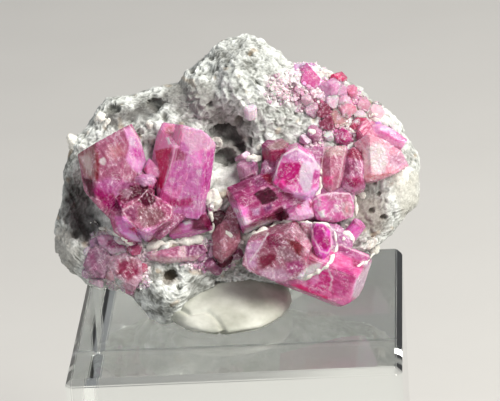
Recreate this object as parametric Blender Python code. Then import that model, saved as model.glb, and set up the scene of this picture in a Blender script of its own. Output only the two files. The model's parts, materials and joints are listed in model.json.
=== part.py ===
"""A red beryl specimen on its display block.

Crystals of red beryl stand on a broken piece of white rhyolite.  A lump of putty holds
the rock upright on a clear acrylic block.  All lengths are in millimetres, and they are
turned into metres where the meshes are made.
"""
import math
import random

import bmesh
import bpy
from mathutils import Vector, noise

MM = 0.001
GAP = 0.3                      # clearance left between pieces that touch
WELD = 0.003                   # points nearer than this become one
FLAT = math.radians(0.5)       # faces that turn by less than this become one

# Driving dimensions of the block: a 1.5 inch cube with a polished chamfer.
BLOCK_SIDE = 38.1
BLOCK_CHAMFER = 0.7

# How the rock's front face stands: its middle in world axes, and its three turns.
FACE_MIDDLE = (0.3, 3.3, BLOCK_SIDE + 15.2)
FACE_LEAN = math.radians(20.2)   # leans back from upright
FACE_TURN = math.radians(3.5)    # faces a little to the left
FACE_ROLL = math.radians(3.7)    # right end hangs a little lower

# The rock.  Points on its face are (across, up) from the middle, and out is to the front.
ROCK_RISE = 3.6                # how far the middle of the front stands out
ROCK_BACK = 11.0               # how far the back lies behind the rim
ROCK_SQUARE = 0.72             # 1 is an ellipsoid, and less has squarer shoulders
ROCK_DETAIL = 4                # subdivisions of the sphere it starts as
ROCK_FINE = 0.1                # forward of here on the sphere, it is subdivided once more
ROCK_LUMP = (4.2, 1.1)         # size and height of the coarse lumps
ROCK_GRIT = (1.7, 0.6)         # size and height of the small lumps
ROCK_WORN = 0.75               # share of that height on the front
ROCK_FADE = 6                  # the relief fades out over this part of the way to the rim
ROCK_RIM = (
    (1.4, 16.8), (3.2, 16.1), (5.3, 15.2), (6.4, 13.9), (8.9, 13.2), (10.3, 12.4),
    (12.6, 11.7), (14.4, 10.7), (15.4, 9.6), (16.7, 8.9), (18.4, 7.9), (19.0, 6.8),
    (20.3, 4.8), (21.2, 2.9), (21.6, 0.6), (21.5, -1.8), (20.8, -3.5), (19.3, -4.9),
    (18.0, -6.4), (15.9, -8.2), (13.0, -9.3), (9.9, -10.8), (6.7, -11.8), (4.1, -12.0),
    (1.8, -11.9), (0.0, -12.1), (-1.5, -12.5), (-3.5, -13.6), (-5.5, -15.0), (-6.9, -16.4),
    (-8.4, -17.2), (-9.9, -16.2), (-11.1, -14.8), (-12.8, -12.8), (-16.9, -12.2),
    (-19.3, -11.0), (-20.4, -9.9), (-21.0, -8.2), (-20.9, -4.7), (-20.1, 0.0), (-19.4, 2.2),
    (-19.5, 4.3), (-18.7, 5.2), (-17.2, 6.2), (-16.2, 8.0), (-14.6, 9.6), (-9.9, 10.5),
    (-6.7, 11.4), (-6.0, 12.7), (-2.9, 14.6), (-2.0, 15.8), (-0.4, 16.5),
)
# Mounds and hollows of the front: across, up, half width, half height, rise, softness.
ROCK_RELIEF = (
    (1.5, 11.8, 6.5, 4.6, 2.4, 0.22),       # thick upper lobe, with a ledge under it
    (-1.0, 4.6, 2.6, 3.2, -2.6, 0.18),      # cavity under that ledge
    (-1.6, 5.3, 1.2, 1.0, -1.3, 0.20),      # scoop in the cavity
    (-1.0, 2.6, 0.9, 0.8, -2.0, 0.15),      # round pit below it
    (-10.5, 8.8, 2.0, 1.3, -1.2, 0.25),     # scoop above the left cluster
    (-2.4, 12.3, 1.3, 2.4, -1.2, 0.25),     # scoop in the upper lobe
    (-17.5, -2.8, 2.6, 4.2, -2.6, 0.20),    # shaded recess at the left end
    (-19.2, -7.4, 1.6, 2.6, 1.3, 0.25),     # rough lumps at its lower edge
    (-9.0, -13.4, 3.6, 2.2, 1.6, 0.30),     # foot of the rock
    (-7.6, -11.1, 0.8, 0.7, -1.2, 0.15),    # small open pit
    (0.2, -10.9, 2.4, 1.5, -1.8, 0.25),     # dark recess above the putty
    (19.0, -2.6, 2.2, 2.8, 0.9, 0.30),      # right shoulder
    (-18.7, 4.4, 0.8, 0.8, 1.4, 0.15),      # white knobs
    (-2.0, 4.6, 0.5, 0.5, 1.4, 0.15),
    (-2.7, -2.3, 0.9, 1.1, 1.8, 0.15),
)

# Flat breaks across the back: the direction each one faces and its distance.
ROCK_BREAKS = (
    ((0.32, 0.38, -0.87), 9.3), ((-0.48, 0.12, -0.87), 10.2), ((0.05, -0.72, -0.69), 12.4),
    ((0.78, -0.12, -0.61), 17.3), ((-0.55, 0.62, -0.56), 14.1), ((-0.72, -0.25, -0.65), 16.8),
)

# The crust of small crystals on the upper right shoulder: patches as (across, up, radius,
# number), the range of the crystals' widths, how far they stand out of the rock, and how
# much of each is inside it.
CRUST_PATCHES = (
    (8.4, 10.7, 1.6, 5), (11.1, 9.6, 2.0, 9), (13.4, 7.9, 2.0, 10), (11.2, 7.2, 1.8, 7),
    (15.7, 6.4, 1.4, 5), (12.6, 5.6, 1.5, 5), (9.6, 4.9, 1.5, 5),
)
CRUST_WIDTH = (0.9, 1.9)
CRUST_STAND = (0.4, 1.1)
CRUST_ROOT = 1.6
GOLDEN_TURN = math.radians(137.5)
CRUST_SEED = 11

# Putty: a pressed lump on the top of the block, from its middle.
PUTTY_MIDDLE = (-1.1, -0.9)
PUTTY_HALF = (7.2, 8.2)
PUTTY_HEIGHT = 4.9
PUTTY_SLOPE = 2.4              # how much higher its back is than its middle
PUTTY_BULGE = 1.3              # height at which its side is widest
PUTTY_WAVE = 0.25              # how far its side waves in and out
PUTTY_FLAT = 0.1               # what is trimmed off below, so that it stands flat
PUTTY_DETAIL = 4


# ---------------------------------------------------------------- materials and objects

def make_material(name, colour, roughness, transmission=0.0, ior=1.45):
    material = bpy.data.materials.new(name)
    material.use_nodes = True
    shader = material.node_tree.nodes["Principled BSDF"]
    shader.inputs["Base Color"].default_value = (*colour, 1.0)
    shader.inputs["Roughness"].default_value = roughness
    shader.inputs["Metallic"].default_value = 0.0
    shader.inputs["Transmission Weight"].default_value = transmission
    shader.inputs["IOR"].default_value = ior
    return material


def make_object(name, bm, material, collection, parent=None):
    """Turn a bmesh in metres into an object that holds one closed body."""
    bmesh.ops.recalc_face_normals(bm, faces=bm.faces)
    mesh = bpy.data.meshes.new(name)
    bm.to_mesh(mesh)
    bm.free()
    obj = bpy.data.objects.new(name, mesh)
    if material:
        mesh.materials.append(material)
    collection.objects.link(obj)
    obj.parent = parent
    return obj


def make_cutter(name, bm, parent):
    """A guide or cutter: drawn as a wire and never rendered."""
    obj = make_object(name, bm, None, cutters, parent)
    obj.display_type = "WIRE"
    obj.hide_render = True
    return obj


def combine(target, others, operation):
    """Join the other objects to the target, or cut them from it, for good."""
    for other in others:
        step = target.modifiers.new(other.name, "BOOLEAN")
        step.operation = operation
        step.solver = "EXACT"
        step.object = other
    scene_state = bpy.context.evaluated_depsgraph_get()
    scene_state.update()
    joined = bpy.data.meshes.new_from_object(target.evaluated_get(scene_state))
    target.modifiers.clear()
    material = target.data.materials[0] if target.data.materials else None
    target.data = joined
    joined.materials.clear()
    if material:
        joined.materials.append(material)
    for other in others:
        bpy.data.objects.remove(other)


def tidy_mesh(obj):
    """Weld slivers, keep the largest body and leave plain triangles."""
    bm = bmesh.new()
    bm.from_mesh(obj.data)
    bmesh.ops.remove_doubles(bm, verts=bm.verts, dist=WELD * MM)
    bmesh.ops.dissolve_limit(bm, angle_limit=FLAT, verts=bm.verts, edges=bm.edges)
    waiting = set(bm.verts)
    bodies = []
    while waiting:
        front = [waiting.pop()]
        body = list(front)
        while front:
            for edge in front.pop().link_edges:
                for vert in edge.verts:
                    if vert in waiting:
                        waiting.remove(vert)
                        front.append(vert)
                        body.append(vert)
        bodies.append(body)
    bodies.sort(key=len)
    for body in bodies[:-1]:
        bmesh.ops.delete(bm, geom=body, context="VERTS")
    bmesh.ops.triangulate(bm, faces=bm.faces)
    bm.to_mesh(obj.data)
    bm.free()


# ---------------------------------------------------------------------------- the block

def make_block():
    """A solid cube, standing on z = 0, with all its edges chamfered."""
    bm = bmesh.new()
    bmesh.ops.create_cube(bm, size=BLOCK_SIDE * MM)
    bmesh.ops.translate(bm, verts=bm.verts, vec=(0, 0, BLOCK_SIDE / 2 * MM))
    bmesh.ops.bevel(bm, geom=bm.edges, offset=BLOCK_CHAMFER * MM, segments=1,
                    affect="EDGES")
    acrylic = make_material("clear acrylic", (0.95, 0.97, 0.97), 0.04, 1.0, 1.49)
    return make_object("acrylic_block", bm, acrylic, specimen_parts)


# ----------------------------------------------------------------------------- the rock

def rim_distance(angle):
    """Distance from the middle of the face to the rim, in the direction of the angle."""
    ray_x, ray_y = math.cos(angle), math.sin(angle)
    best = 0.0
    for index, (x0, y0) in enumerate(ROCK_RIM):
        x1, y1 = ROCK_RIM[(index + 1) % len(ROCK_RIM)]
        dx, dy = x1 - x0, y1 - y0
        turn = ray_x * dy - ray_y * dx
        if abs(turn) < 1e-9:
            continue
        along_ray = (x0 * dy - y0 * dx) / turn
        along_edge = (x0 * ray_y - y0 * ray_x) / turn
        if along_ray > 0 and -1e-9 <= along_edge <= 1 + 1e-9:
            best = max(best, along_ray)
    return best


def relief(across, up):
    """Mounds and hollows of the front face at one place."""
    height = 0.0
    for middle_x, middle_y, half_x, half_y, rise, softness in ROCK_RELIEF:
        distance = math.hypot((across - middle_x) / half_x, (up - middle_y) / half_y)
        height += rise / (1 + math.exp(min((distance - 1) / softness, 50)))
    return height


def lumpiness(across, up, out):
    """Coarse and small lumps of the broken surface, in millimetres."""
    place = Vector((across, up, out))
    coarse = noise.noise(place / ROCK_LUMP[0] + Vector((3.1, 7.7, 1.9)))
    cobbles = 0.45 - noise.voronoi(place / ROCK_GRIT[0])[0][0]
    return ROCK_LUMP[1] * coarse + ROCK_GRIT[1] * cobbles


def rock_front(across, up):
    """How far the rock's front face stands out at one place."""
    share = min(math.hypot(across, up) / rim_distance(math.atan2(up, across)), 1.0)
    crown = max(1 - share ** (2 / ROCK_SQUARE), 0.0) ** (ROCK_SQUARE / 2)
    return ROCK_RISE * crown + relief(across, up) * min(1.0, (1 - share) * ROCK_FADE)


def rock_point(direction):
    """Move a point of the unit sphere onto the rock's surface (across, up, out)."""
    spread = math.hypot(direction.x, direction.z)
    angle = math.atan2(direction.z, direction.x)
    reach = rim_distance(angle) * spread ** ROCK_SQUARE
    across, up = reach * math.cos(angle), reach * math.sin(angle)
    if direction.y < 0:
        out = rock_front(across, up)
    else:
        out = -ROCK_BACK * abs(direction.y) ** ROCK_SQUARE
    place = Vector((across, up, out))
    for facing, distance in ROCK_BREAKS:
        place *= min(1.0, distance / max(place.dot(Vector(facing)), 0.001))
    # The lumps stand out less sideways, and less near the rim, so that its outline stays.
    push = lumpiness(across, up, out) * (1.0 if direction.y > 0 else ROCK_WORN)
    outward = min(1.0, 0.35 + (1 - spread) * 3)
    return place + push * Vector((direction.x * 0.6, direction.z * 0.6,
                                  -direction.y * outward))


def rock_body(swell=0.0):
    """The rock as a bmesh.  swell moves its whole surface outwards."""
    bm = bmesh.new()
    bmesh.ops.create_icosphere(bm, subdivisions=ROCK_DETAIL, radius=1.0)
    fine = {edge for face in bm.faces if face.calc_center_median().y < ROCK_FINE
            for edge in face.edges}
    bmesh.ops.subdivide_edges(bm, edges=list(fine), cuts=1, use_grid_fill=True)
    bmesh.ops.triangulate(bm, faces=bm.faces)
    for vert in bm.verts:
        vert.co = to_frame(rock_point(vert.co.normalized()))
    bmesh.ops.recalc_face_normals(bm, faces=bm.faces)
    bm.normal_update()
    for vert in bm.verts:
        vert.co += vert.normal * swell * MM
    return bm


def make_rock(parent):
    """The rock with its crust, with a socket for each crystal, flat where it stands."""
    rhyolite = make_material("white rhyolite", (0.72, 0.71, 0.69), 0.9)
    rock = make_object("matrix", rock_body(), rhyolite, specimen_parts, parent)
    combine(rock, [make_cutter(f"crust_{index}", grow(one), parent)
                   for index, one in enumerate(crust_crystals())], "UNION")
    combine(rock, all_crystals(parent, GAP) + [ground(GAP)], "DIFFERENCE")
    tidy_mesh(rock)
    return rock


def ground(height):
    """A cutter that fills everything below a height over the top of the block."""
    bm = bmesh.new()
    bmesh.ops.create_cube(bm, size=2 * BLOCK_SIDE * MM)
    bmesh.ops.translate(bm, verts=bm.verts, vec=(0, 0, height * MM))
    return make_cutter("ground", bm, None)


# ------------------------------------------------------------------------- the crystals

def crystal(tip, axis, length, sides, turn=0.0, cuts=()):
    """One six-sided crystal, as flat faces grown out to given distances.

    tip     middle of its end face (across, up, out)
    axis    the way it points (across, up, out)
    length  from the end face to its root
    sides   distance of each of the six side faces from the axis, in order.  The first
            faces out, or up on a crystal that itself points out
    turn    degrees that the side faces are turned about the axis
    cuts    bevels and broken faces, as pairs of a point and an outward direction
    """
    return {"tip": Vector(tip), "axis": Vector(axis).normalized(), "length": length,
            "sides": sides, "turn": math.radians(turn), "cuts": cuts}


def end_on(outline, out, axis, length, dome=(0, 0), cuts=()):
    """A crystal that points to the front, from the outline of its sides.

    outline corners of its sides (across, up), at the distance out, in order
    dome    how far in from the outline, and how far down it, the end is bevelled
    """
    axis = Vector(axis).normalized()
    corners = [Vector((across, up, out)) for across, up in outline]
    middle = sum(corners, Vector()) / len(corners)
    planes = []
    for corner, after in zip(corners, corners[1:] + corners[:1]):
        outward = (after - corner).cross(axis).normalized()
        if outward.dot(corner - middle) < 0:
            outward.negate()
        planes.append((corner, outward))
        if dome[0]:
            planes.append((corner - axis * dome[1], outward * dome[1] + axis * dome[0]))
    return crystal(middle, axis, length, (), cuts=tuple(planes) + tuple(cuts))


def crystal_planes(grown):
    """The flat faces of a crystal, as pairs of a point and an outward normal."""
    axis, tip = grown["axis"], grown["tip"]
    ahead = Vector((0, 0, 1)) if abs(axis.z) < 0.8 else Vector((0, 1, 0))
    ahead = (ahead - ahead.dot(axis) * axis).normalized()
    aside = axis.cross(ahead)
    planes = [(tip, axis), (tip - axis * grown["length"], -axis)]
    for index, distance in enumerate(grown["sides"]):
        angle = grown["turn"] + math.radians(60 * index)
        normal = ahead * math.cos(angle) + aside * math.sin(angle)
        planes.append((tip + normal * distance, normal))
    for point, direction in grown["cuts"]:
        planes.append((Vector(point), Vector(direction).normalized()))
    return planes


UNCUT = 60.0                   # side of the block that each crystal is cut from


def grow(grown, swell=0.0):
    """Cut a crystal from a block by its flat faces.  swell moves every face outwards."""
    bm = bmesh.new()
    bmesh.ops.create_cube(bm, size=UNCUT * MM)
    bmesh.ops.translate(bm, verts=bm.verts, vec=to_frame(grown["tip"]))
    for point, normal in crystal_planes(grown):
        cut = bmesh.ops.bisect_plane(
            bm, geom=bm.verts[:] + bm.edges[:] + bm.faces[:], dist=1e-9,
            plane_co=to_frame(point + normal * swell),
            plane_no=Vector((normal.x, -normal.z, normal.y)), clear_outer=True)
        rim = [item for item in cut["geom_cut"] if isinstance(item, bmesh.types.BMEdge)]
        if len(rim) > 2:
            bmesh.ops.contextual_create(bm, geom=rim)
    return bm


def to_frame(point):
    """(across, up, out) in millimetres to the specimen's own axes in metres."""
    return Vector((point.x, -point.z, point.y)) * MM


def crust_crystals():
    """Small crystals scattered over the crust's patches, rooted in the rock."""
    dice = random.Random(CRUST_SEED)
    for middle_x, middle_y, radius, number in CRUST_PATCHES:
        for index in range(number):
            angle = GOLDEN_TURN * index + dice.uniform(-0.4, 0.4)
            reach = radius * math.sqrt((index + 0.5) / number)
            across = middle_x + reach * math.cos(angle)
            up = middle_y + reach * math.sin(angle)
            half = dice.uniform(*CRUST_WIDTH) / 2
            out = rock_front(across, up)
            out += ROCK_WORN * lumpiness(across, up, out) + dice.uniform(*CRUST_STAND)
            lean = (dice.uniform(-0.7, 0.7), dice.uniform(-0.5, 0.8), 1.0)
            sides = [half * dice.uniform(0.85, 1.15) for _ in range(6)]
            yield crystal((across, up, out), lean, half + CRUST_ROOT, sides,
                          turn=dice.uniform(0, 60))


LEFT_CLUSTER = (
    # blocky crystal
    crystal((-15.3, 4.6, 4.6), (-0.48, 0.87, 0.0), 8.5, (3.2, 4.2, 2.6, 3.0, 5.0, 5.0),
            cuts=(((-16.0, 2.0, 7.8), (-0.82, 0.00, 0.57)),
                  ((-18.1, 2.5, 4.5), (-0.97, -0.22, -0.10)),
                  ((-16.0, -2.8, 4.5), (-0.74, -0.67, 0.00)),
                  ((-12.6, 3.2, 7.8), (0.72, -0.10, 0.69)),
                  ((-12.9, -1.3, 6.5), (0.70, -0.55, 0.45)))),
    # upright prism, left half, with a bevelled top
    crystal((-7.0, 5.6, 6.9), (0.13, 0.92, 0.36), 10.0, (2.2, 3.1, 2.5, 2.5, 2.5, 3.6),
            cuts=(((-7.0, 3.8, 8.5), (-0.85, 0.03, 0.53)),
                  ((-7.0, 3.85, 8.5), (-0.15, 0.72, 0.68)),
                  ((-9.0, 5.0, 6.0), (-0.91, 0.41, 0.10)),
                  ((-9.4, 1.4, 5.5), (-0.99, -0.13, 0.05)))),
    # upright prism, right half, grown a little further
    crystal((-3.9, 6.6, 7.4), (0.13, 0.92, 0.36), 11.1, (2.25, 2.2, 1.4, 2.5, 2.2, 2.9),
            cuts=(((-4.8, 6.0, 9.5), (0.28, 0.93, -0.15)),
                  ((-3.0, 5.05, 9.2), (0.62, 0.76, -0.10)))),
    # broken crystal in front of the other two
    crystal((-10.1, -3.4, 7.6), (0.00, 0.24, 0.97), 6.0, (1.9, 2.9, 2.4, 2.4, 2.9, 1.9),
            turn=30),
    # broken mass at the bottom of the hollow between them
    crystal((-11.8, -1.2, 6.4), (0.10, 0.15, 0.98), 5.2, (2.2, 2.6, 2.2, 2.2, 2.4, 2.2)),
    # low crystals on either side of the broken one
    end_on(((-15.0, -2.9), (-13.4, -2.3), (-12.2, -4.1), (-11.1, -6.9), (-12.7, -7.2),
            (-14.1, -5.8)), 6.3, (-0.15, 0.10, 0.98), 5.2, dome=(0.4, 0.4)),
    end_on(((-8.3, -3.7), (-5.8, -3.4), (-5.6, -4.3), (-7.2, -5.8), (-8.6, -6.9), (-9.4, -6.4)),
           5.9, (0.15, 0.05, 0.98), 5.0, dome=(0.4, 0.4)),
    # pale lump at the bottom of the notch between them, and a wedge above it
    end_on(((-11.7, 0.2), (-10.9, 0.8), (-9.6, 0.8), (-8.9, 0.2), (-9.3, -0.8), (-10.8, -0.9)),
           6.6, (0.10, 0.25, 0.96), 3.6, dome=(0.4, 0.4)),
    end_on(((-10.5, 1.3), (-9.9, 2.7), (-8.7, 1.4), (-8.5, 0.2), (-10.1, 0.2)), 5.9,
           (0.10, 0.25, 0.96), 3.6),
)
PURPLE_CRYSTAL = (
    crystal((-3.0, -4.6, 4.6), (0.88, 0.27, 0.38), 4.9, (1.2, 1.1, 1.1, 1.1, 1.1, 1.1)),
)
CRYSTAL_BLADE = (
    end_on(((-10.3, -8.5), (-7.5, -7.6), (-3.7, -7.3), (-3.1, -8.1), (-4.6, -9.2), (-8.1, -9.4),
            (-9.8, -9.0)), 4.2, (0.05, 0.25, 0.96), 2.8, dome=(0.3, 0.4)),
)
LOWER_LEFT = (
    end_on(((-17.7, -9.9), (-17.2, -8.4), (-16.3, -7.4), (-14.6, -7.9), (-14.2, -9.6),
            (-15.4, -11.4), (-16.8, -11.2)), 3.6, (-0.15, 0.10, 0.98), 3.2, dome=(0.5, 0.4)),
    end_on(((-14.8, -9.0), (-13.5, -8.1), (-11.9, -8.2), (-10.6, -9.5), (-10.7, -11.6),
            (-11.7, -12.9), (-13.4, -12.2), (-14.8, -10.5)), 4.0, (0.10, 0.05, 0.99), 3.6,
           dome=(0.7, 0.6)),
    end_on(((-16.0, -6.3), (-14.7, -6.1), (-12.8, -7.2), (-12.5, -8.4), (-14.5, -8.5), (-15.8, -7.3)),
           3.8, (0.05, 0.25, 0.96), 3.2, dome=(0.4, 0.4)),
)
FADED_CLUSTER = (
    end_on(((-3.1, -3.8), (-2.4, -3.2), (-1.3, -3.5), (-0.9, -4.5), (-1.8, -5.4), (-2.9, -4.9)),
           4.6, (0.10, 0.20, 0.97), 3.4, dome=(0.3, 0.3)),
    end_on(((-2.6, -6.0), (-1.5, -4.1), (-0.5, -2.5), (0.3, -3.9), (0.7, -6.7), (0.1, -8.1),
            (-1.5, -9.4), (-2.5, -8.6)), 5.0, (0.05, 0.20, 0.98), 4.2, dome=(0.4, 0.4)),
    crystal((-2.1, -9.0, 3.4), (-0.60, -0.30, 0.70), 4.0, (1.1, 1.2, 1.2, 1.1, 1.2, 1.2)),
)
UPPER_RIGHT = (
    # low mass that the smaller ones grew out of
    end_on(((2.7, -0.2), (3.1, 2.0), (4.3, 3.2), (7.5, 3.7), (12.7, 4.0), (14.2, 1.7),
            (13.8, -1.8), (13.6, -4.0), (11.0, -4.7), (7.5, -4.7), (3.8, -5.2), (2.3, -4.0)),
           5.1, (0.00, 0.05, 1.00), 4.6, dome=(0.5, 0.4)),
    # large crystal at the left of the group
    crystal((0.0, -3.6, 5.2), (-0.91, -0.36, 0.20), 8.0, (2.5, 2.6, 2.6, 2.6, 2.6, 2.5),
            turn=-12),
    # bright one in the middle
    end_on(((4.4, -0.4), (5.0, 1.9), (5.9, 3.2), (7.4, 3.8), (9.0, 2.8), (9.8, 1.0), (9.7, -1.1),
            (8.5, -2.1), (5.8, -1.5)), 7.7, (0.06, -0.14, 0.98), 7.0, dome=(0.8, 0.7)),
    # dark red one with a pale top
    crystal((4.6, 4.2, 4.6), (-0.05, 0.88, 0.46), 4.5, (1.6, 1.4, 1.4, 1.5, 1.4, 1.4)),
    # mauve one beside it
    crystal((1.3, 2.0, 4.2), (-0.20, 0.88, 0.42), 4.0, (1.1, 1.1, 1.1, 1.1, 1.1, 1.1)),
    # flat one under the bright one
    end_on(((5.2, -2.3), (6.0, -1.5), (8.3, -1.4), (9.0, -2.7), (9.1, -4.2), (7.5, -4.7),
            (5.5, -4.5)), 5.8, (0.02, 0.10, 0.99), 5.0, dome=(0.4, 0.3)),
    # rounded one with white specks
    end_on(((8.7, -3.0), (9.4, -1.8), (11.0, -1.4), (13.3, -1.5), (13.8, -3.0), (13.6, -4.3),
            (11.4, -5.0), (9.5, -4.6)), 6.0, (0.10, -0.05, 0.99), 5.0, dome=(0.6, 0.5)),
    # two upright ones right of the bright one
    end_on(((9.9, 2.3), (10.5, 3.5), (11.5, 4.1), (12.9, 4.0), (12.8, 1.9), (12.1, -0.7),
            (10.9, -1.4), (10.0, -0.5)), 5.9, (0.00, 0.20, 0.98), 5.0, dome=(0.6, 0.6)),
    end_on(((12.8, 3.5), (13.7, 4.0), (14.5, 3.2), (15.2, 1.0), (15.0, -0.8), (13.5, -1.4),
            (12.3, -0.7), (12.2, 1.6)), 6.0, (0.03, 0.20, 0.98), 5.0, dome=(0.6, 0.7),
           cuts=(((13.6, 2.6, 6.0), (0.10, 0.55, 0.83)),)),
    # large pale one at the right
    end_on(((14.0, 4.5), (15.3, 5.3), (17.0, 4.8), (19.3, 3.4), (20.2, 1.8), (18.8, 0.9), (16.8, 0.1),
            (15.1, -0.2), (14.4, 2.0)), 6.2, (0.12, 0.10, 0.98), 6.0, dome=(0.3, 0.3),
           cuts=(((17.3, 2.5, 6.2), (0.42, 0.12, 0.90)), ((15.4, 2.5, 6.2), (-0.70, 0.05, 0.70)))),
    # two pink ones on its upper edge
    end_on(((15.6, 6.5), (17.0, 6.7), (18.7, 5.8), (20.0, 4.7), (19.4, 3.8), (17.7, 4.2), (16.0, 5.2)),
           4.4, (0.20, 0.30, 0.93), 3.6, dome=(0.4, 0.4)),
    crystal((15.5, 5.8, 4.2), (0.20, 0.45, 0.87), 4.0, (1.2, 1.2, 1.2, 1.2, 1.2, 1.2)),
)
LOWER_RIGHT = (
    # low mass between the other three
    end_on(((7.5, -4.9), (11.9, -5.1), (13.6, -6.9), (13.4, -9.3), (10.2, -10.3), (7.5, -9.8)),
           6.2, (0.00, 0.00, 1.00), 5.6, dome=(0.5, 0.5)),
    # large speckled one, seen on its end
    crystal((4.5, -9.0, 8.2), (-0.18, -0.26, 0.95), 7.5, (2.7, 3.5, 3.3, 3.0, 3.7, 3.6),
            turn=15, cuts=(((3.6, -11.6, 8.2), (-0.33, -0.94, -0.32)),)),
    # oval one with a white rim
    end_on(((8.8, -5.8), (9.3, -5.0), (10.2, -5.0), (10.9, -5.7), (11.3, -7.3), (10.9, -8.5),
            (10.1, -9.3), (9.3, -8.6), (8.8, -7.3)), 7.6, (0.05, -0.05, 0.99), 6.5,
           dome=(0.45, 0.5)),
    # large one that points to the lower right
    crystal((14.5, -11.8, 4.8), (0.92, -0.36, 0.18), 9.5, (3.1, 3.5, 3.1, 3.1, 3.1, 3.1),
            turn=22, cuts=(((13.0, -14.2, 5.0), (0.45, -0.89, 0.0)),)),
)
SMALL_PRISM = (
    crystal((14.5, -4.9, 3.6), (0.60, 0.76, 0.25), 3.4, (0.8, 0.8, 0.75, 0.8, 0.75, 0.8)),
)
LONE_CRYSTAL = (
    crystal((1.7, 8.5, 5.4), (-0.10, 0.82, 0.56), 1.6, (0.7, 0.7, 0.7, 0.7, 0.7, 0.7)),
)
CLUSTERS = {
    # each one is cut clear of those above it
    "left_cluster": LEFT_CLUSTER,
    "lower_right_cluster": LOWER_RIGHT,
    "purple_crystal": PURPLE_CRYSTAL,
    "upper_right_cluster": UPPER_RIGHT,
    "faded_cluster": FADED_CLUSTER,
    "crystal_blade": CRYSTAL_BLADE,
    "lower_left_crystals": LOWER_LEFT,
    "small_prism": SMALL_PRISM,
    "lone_crystal": LONE_CRYSTAL,
}


def all_crystals(parent, swell, names=tuple(CLUSTERS)):
    """The large crystals of the named clusters, swelled, as cutters for their neighbours."""
    return [make_cutter(f"{name}_{index}", grow(one, swell), parent)
            for name in names for index, one in enumerate(CLUSTERS[name])]


def make_cluster(name, parent):
    """Crystals that grew into each other are one solid, clear of the clusters before it."""
    first, *others = CLUSTERS[name]
    cluster = make_object(name, grow(first), beryl, specimen_parts, parent)
    if others:
        combine(cluster, [make_cutter(f"{name}_{index}", grow(one), parent)
                          for index, one in enumerate(others)], "UNION")
    order = list(CLUSTERS)
    before = order[:order.index(name)]
    if before:
        combine(cluster, all_crystals(parent, GAP, before), "DIFFERENCE")
    tidy_mesh(cluster)
    return cluster


# ---------------------------------------------------------------------------- the putty

def putty_point(direction):
    """Move a point of the unit sphere onto the pressed lump, over the top of the block."""
    spread = math.hypot(direction.x, direction.y)
    if direction.z < 0:
        reach = spread ** 0.4
        height = (PUTTY_BULGE + PUTTY_FLAT) * (1 + direction.z) ** 0.7 - PUTTY_FLAT
    else:
        reach = spread
        top = PUTTY_HEIGHT + PUTTY_SLOPE * direction.y
        height = PUTTY_BULGE + (top - PUTTY_BULGE) * direction.z ** 0.9
    scale = reach / max(spread, 1e-6)
    wave = PUTTY_WAVE * noise.noise(Vector((direction.x * 2, direction.y * 2, height * 0.3)))
    return Vector((PUTTY_MIDDLE[0] + (PUTTY_HALF[0] + wave) * direction.x * scale,
                   PUTTY_MIDDLE[1] + (PUTTY_HALF[1] + wave) * direction.y * scale,
                   BLOCK_SIDE + GAP + PUTTY_FLAT / 2 + height))


def make_putty(parent):
    """The lump, pressed to the shape of the rock and crystals that it holds."""
    bm = bmesh.new()
    bmesh.ops.create_icosphere(bm, subdivisions=PUTTY_DETAIL, radius=1.0)
    for vert in bm.verts:
        vert.co = putty_point(vert.co.normalized()) * MM
    clay = make_material("mounting putty", (0.66, 0.64, 0.58), 0.75)
    putty = make_object("mounting_putty", bm, clay, specimen_parts)
    rock_cutter = make_cutter("rock_cutter", rock_body(GAP), parent)
    cut_by = [rock_cutter, ground(GAP + PUTTY_FLAT)] + all_crystals(parent, GAP)
    combine(putty, cut_by, "DIFFERENCE")
    tidy_mesh(putty)
    return putty


# ---------------------------------------------------------------------------- the build

for old in list(bpy.data.objects):
    bpy.data.objects.remove(old)

specimen_parts = bpy.data.collections.new("red_beryl_specimen")
cutters = bpy.data.collections.new("cutters")
bpy.context.scene.collection.children.link(specimen_parts)
bpy.context.scene.collection.children.link(cutters)

face = bpy.data.objects.new("face", None)
specimen_parts.objects.link(face)
face.location = Vector(FACE_MIDDLE) * MM
face.rotation_mode = "YXZ"
face.rotation_euler = (-FACE_LEAN, FACE_ROLL, FACE_TURN)

beryl = make_material("red beryl", (0.62, 0.05, 0.30), 0.15, 0.6, 1.57)

make_block()
make_putty(face)
make_rock(face)
for cluster_name in CLUSTERS:
    make_cluster(cluster_name, face)
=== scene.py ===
import json
import math
import random

import bmesh
import bpy
import numpy as np
from mathutils import Euler, Matrix, Vector, noise
from mathutils.bvhtree import BVHTree

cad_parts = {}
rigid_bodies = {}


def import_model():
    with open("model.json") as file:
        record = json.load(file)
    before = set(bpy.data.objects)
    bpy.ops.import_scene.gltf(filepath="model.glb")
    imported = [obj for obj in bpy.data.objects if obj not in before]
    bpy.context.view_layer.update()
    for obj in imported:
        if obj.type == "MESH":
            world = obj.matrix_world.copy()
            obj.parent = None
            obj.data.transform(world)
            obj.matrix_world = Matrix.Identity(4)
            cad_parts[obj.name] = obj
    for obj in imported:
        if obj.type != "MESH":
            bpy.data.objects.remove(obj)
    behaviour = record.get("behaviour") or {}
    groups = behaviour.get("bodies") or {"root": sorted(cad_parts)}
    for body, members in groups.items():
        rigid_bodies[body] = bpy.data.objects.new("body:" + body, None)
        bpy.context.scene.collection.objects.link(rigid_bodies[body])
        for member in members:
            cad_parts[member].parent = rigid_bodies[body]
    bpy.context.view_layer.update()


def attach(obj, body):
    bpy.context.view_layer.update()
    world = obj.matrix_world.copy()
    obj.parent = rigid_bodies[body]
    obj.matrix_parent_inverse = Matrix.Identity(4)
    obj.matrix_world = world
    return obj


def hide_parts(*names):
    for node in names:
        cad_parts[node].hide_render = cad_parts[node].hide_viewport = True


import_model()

# ============================================================== the display block
# The specimen stands on a cube of clear cast acrylic, sawn, milled and polished on all
# six faces.  Its edges are chamfered and polished too, so they catch the light as bands.

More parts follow.
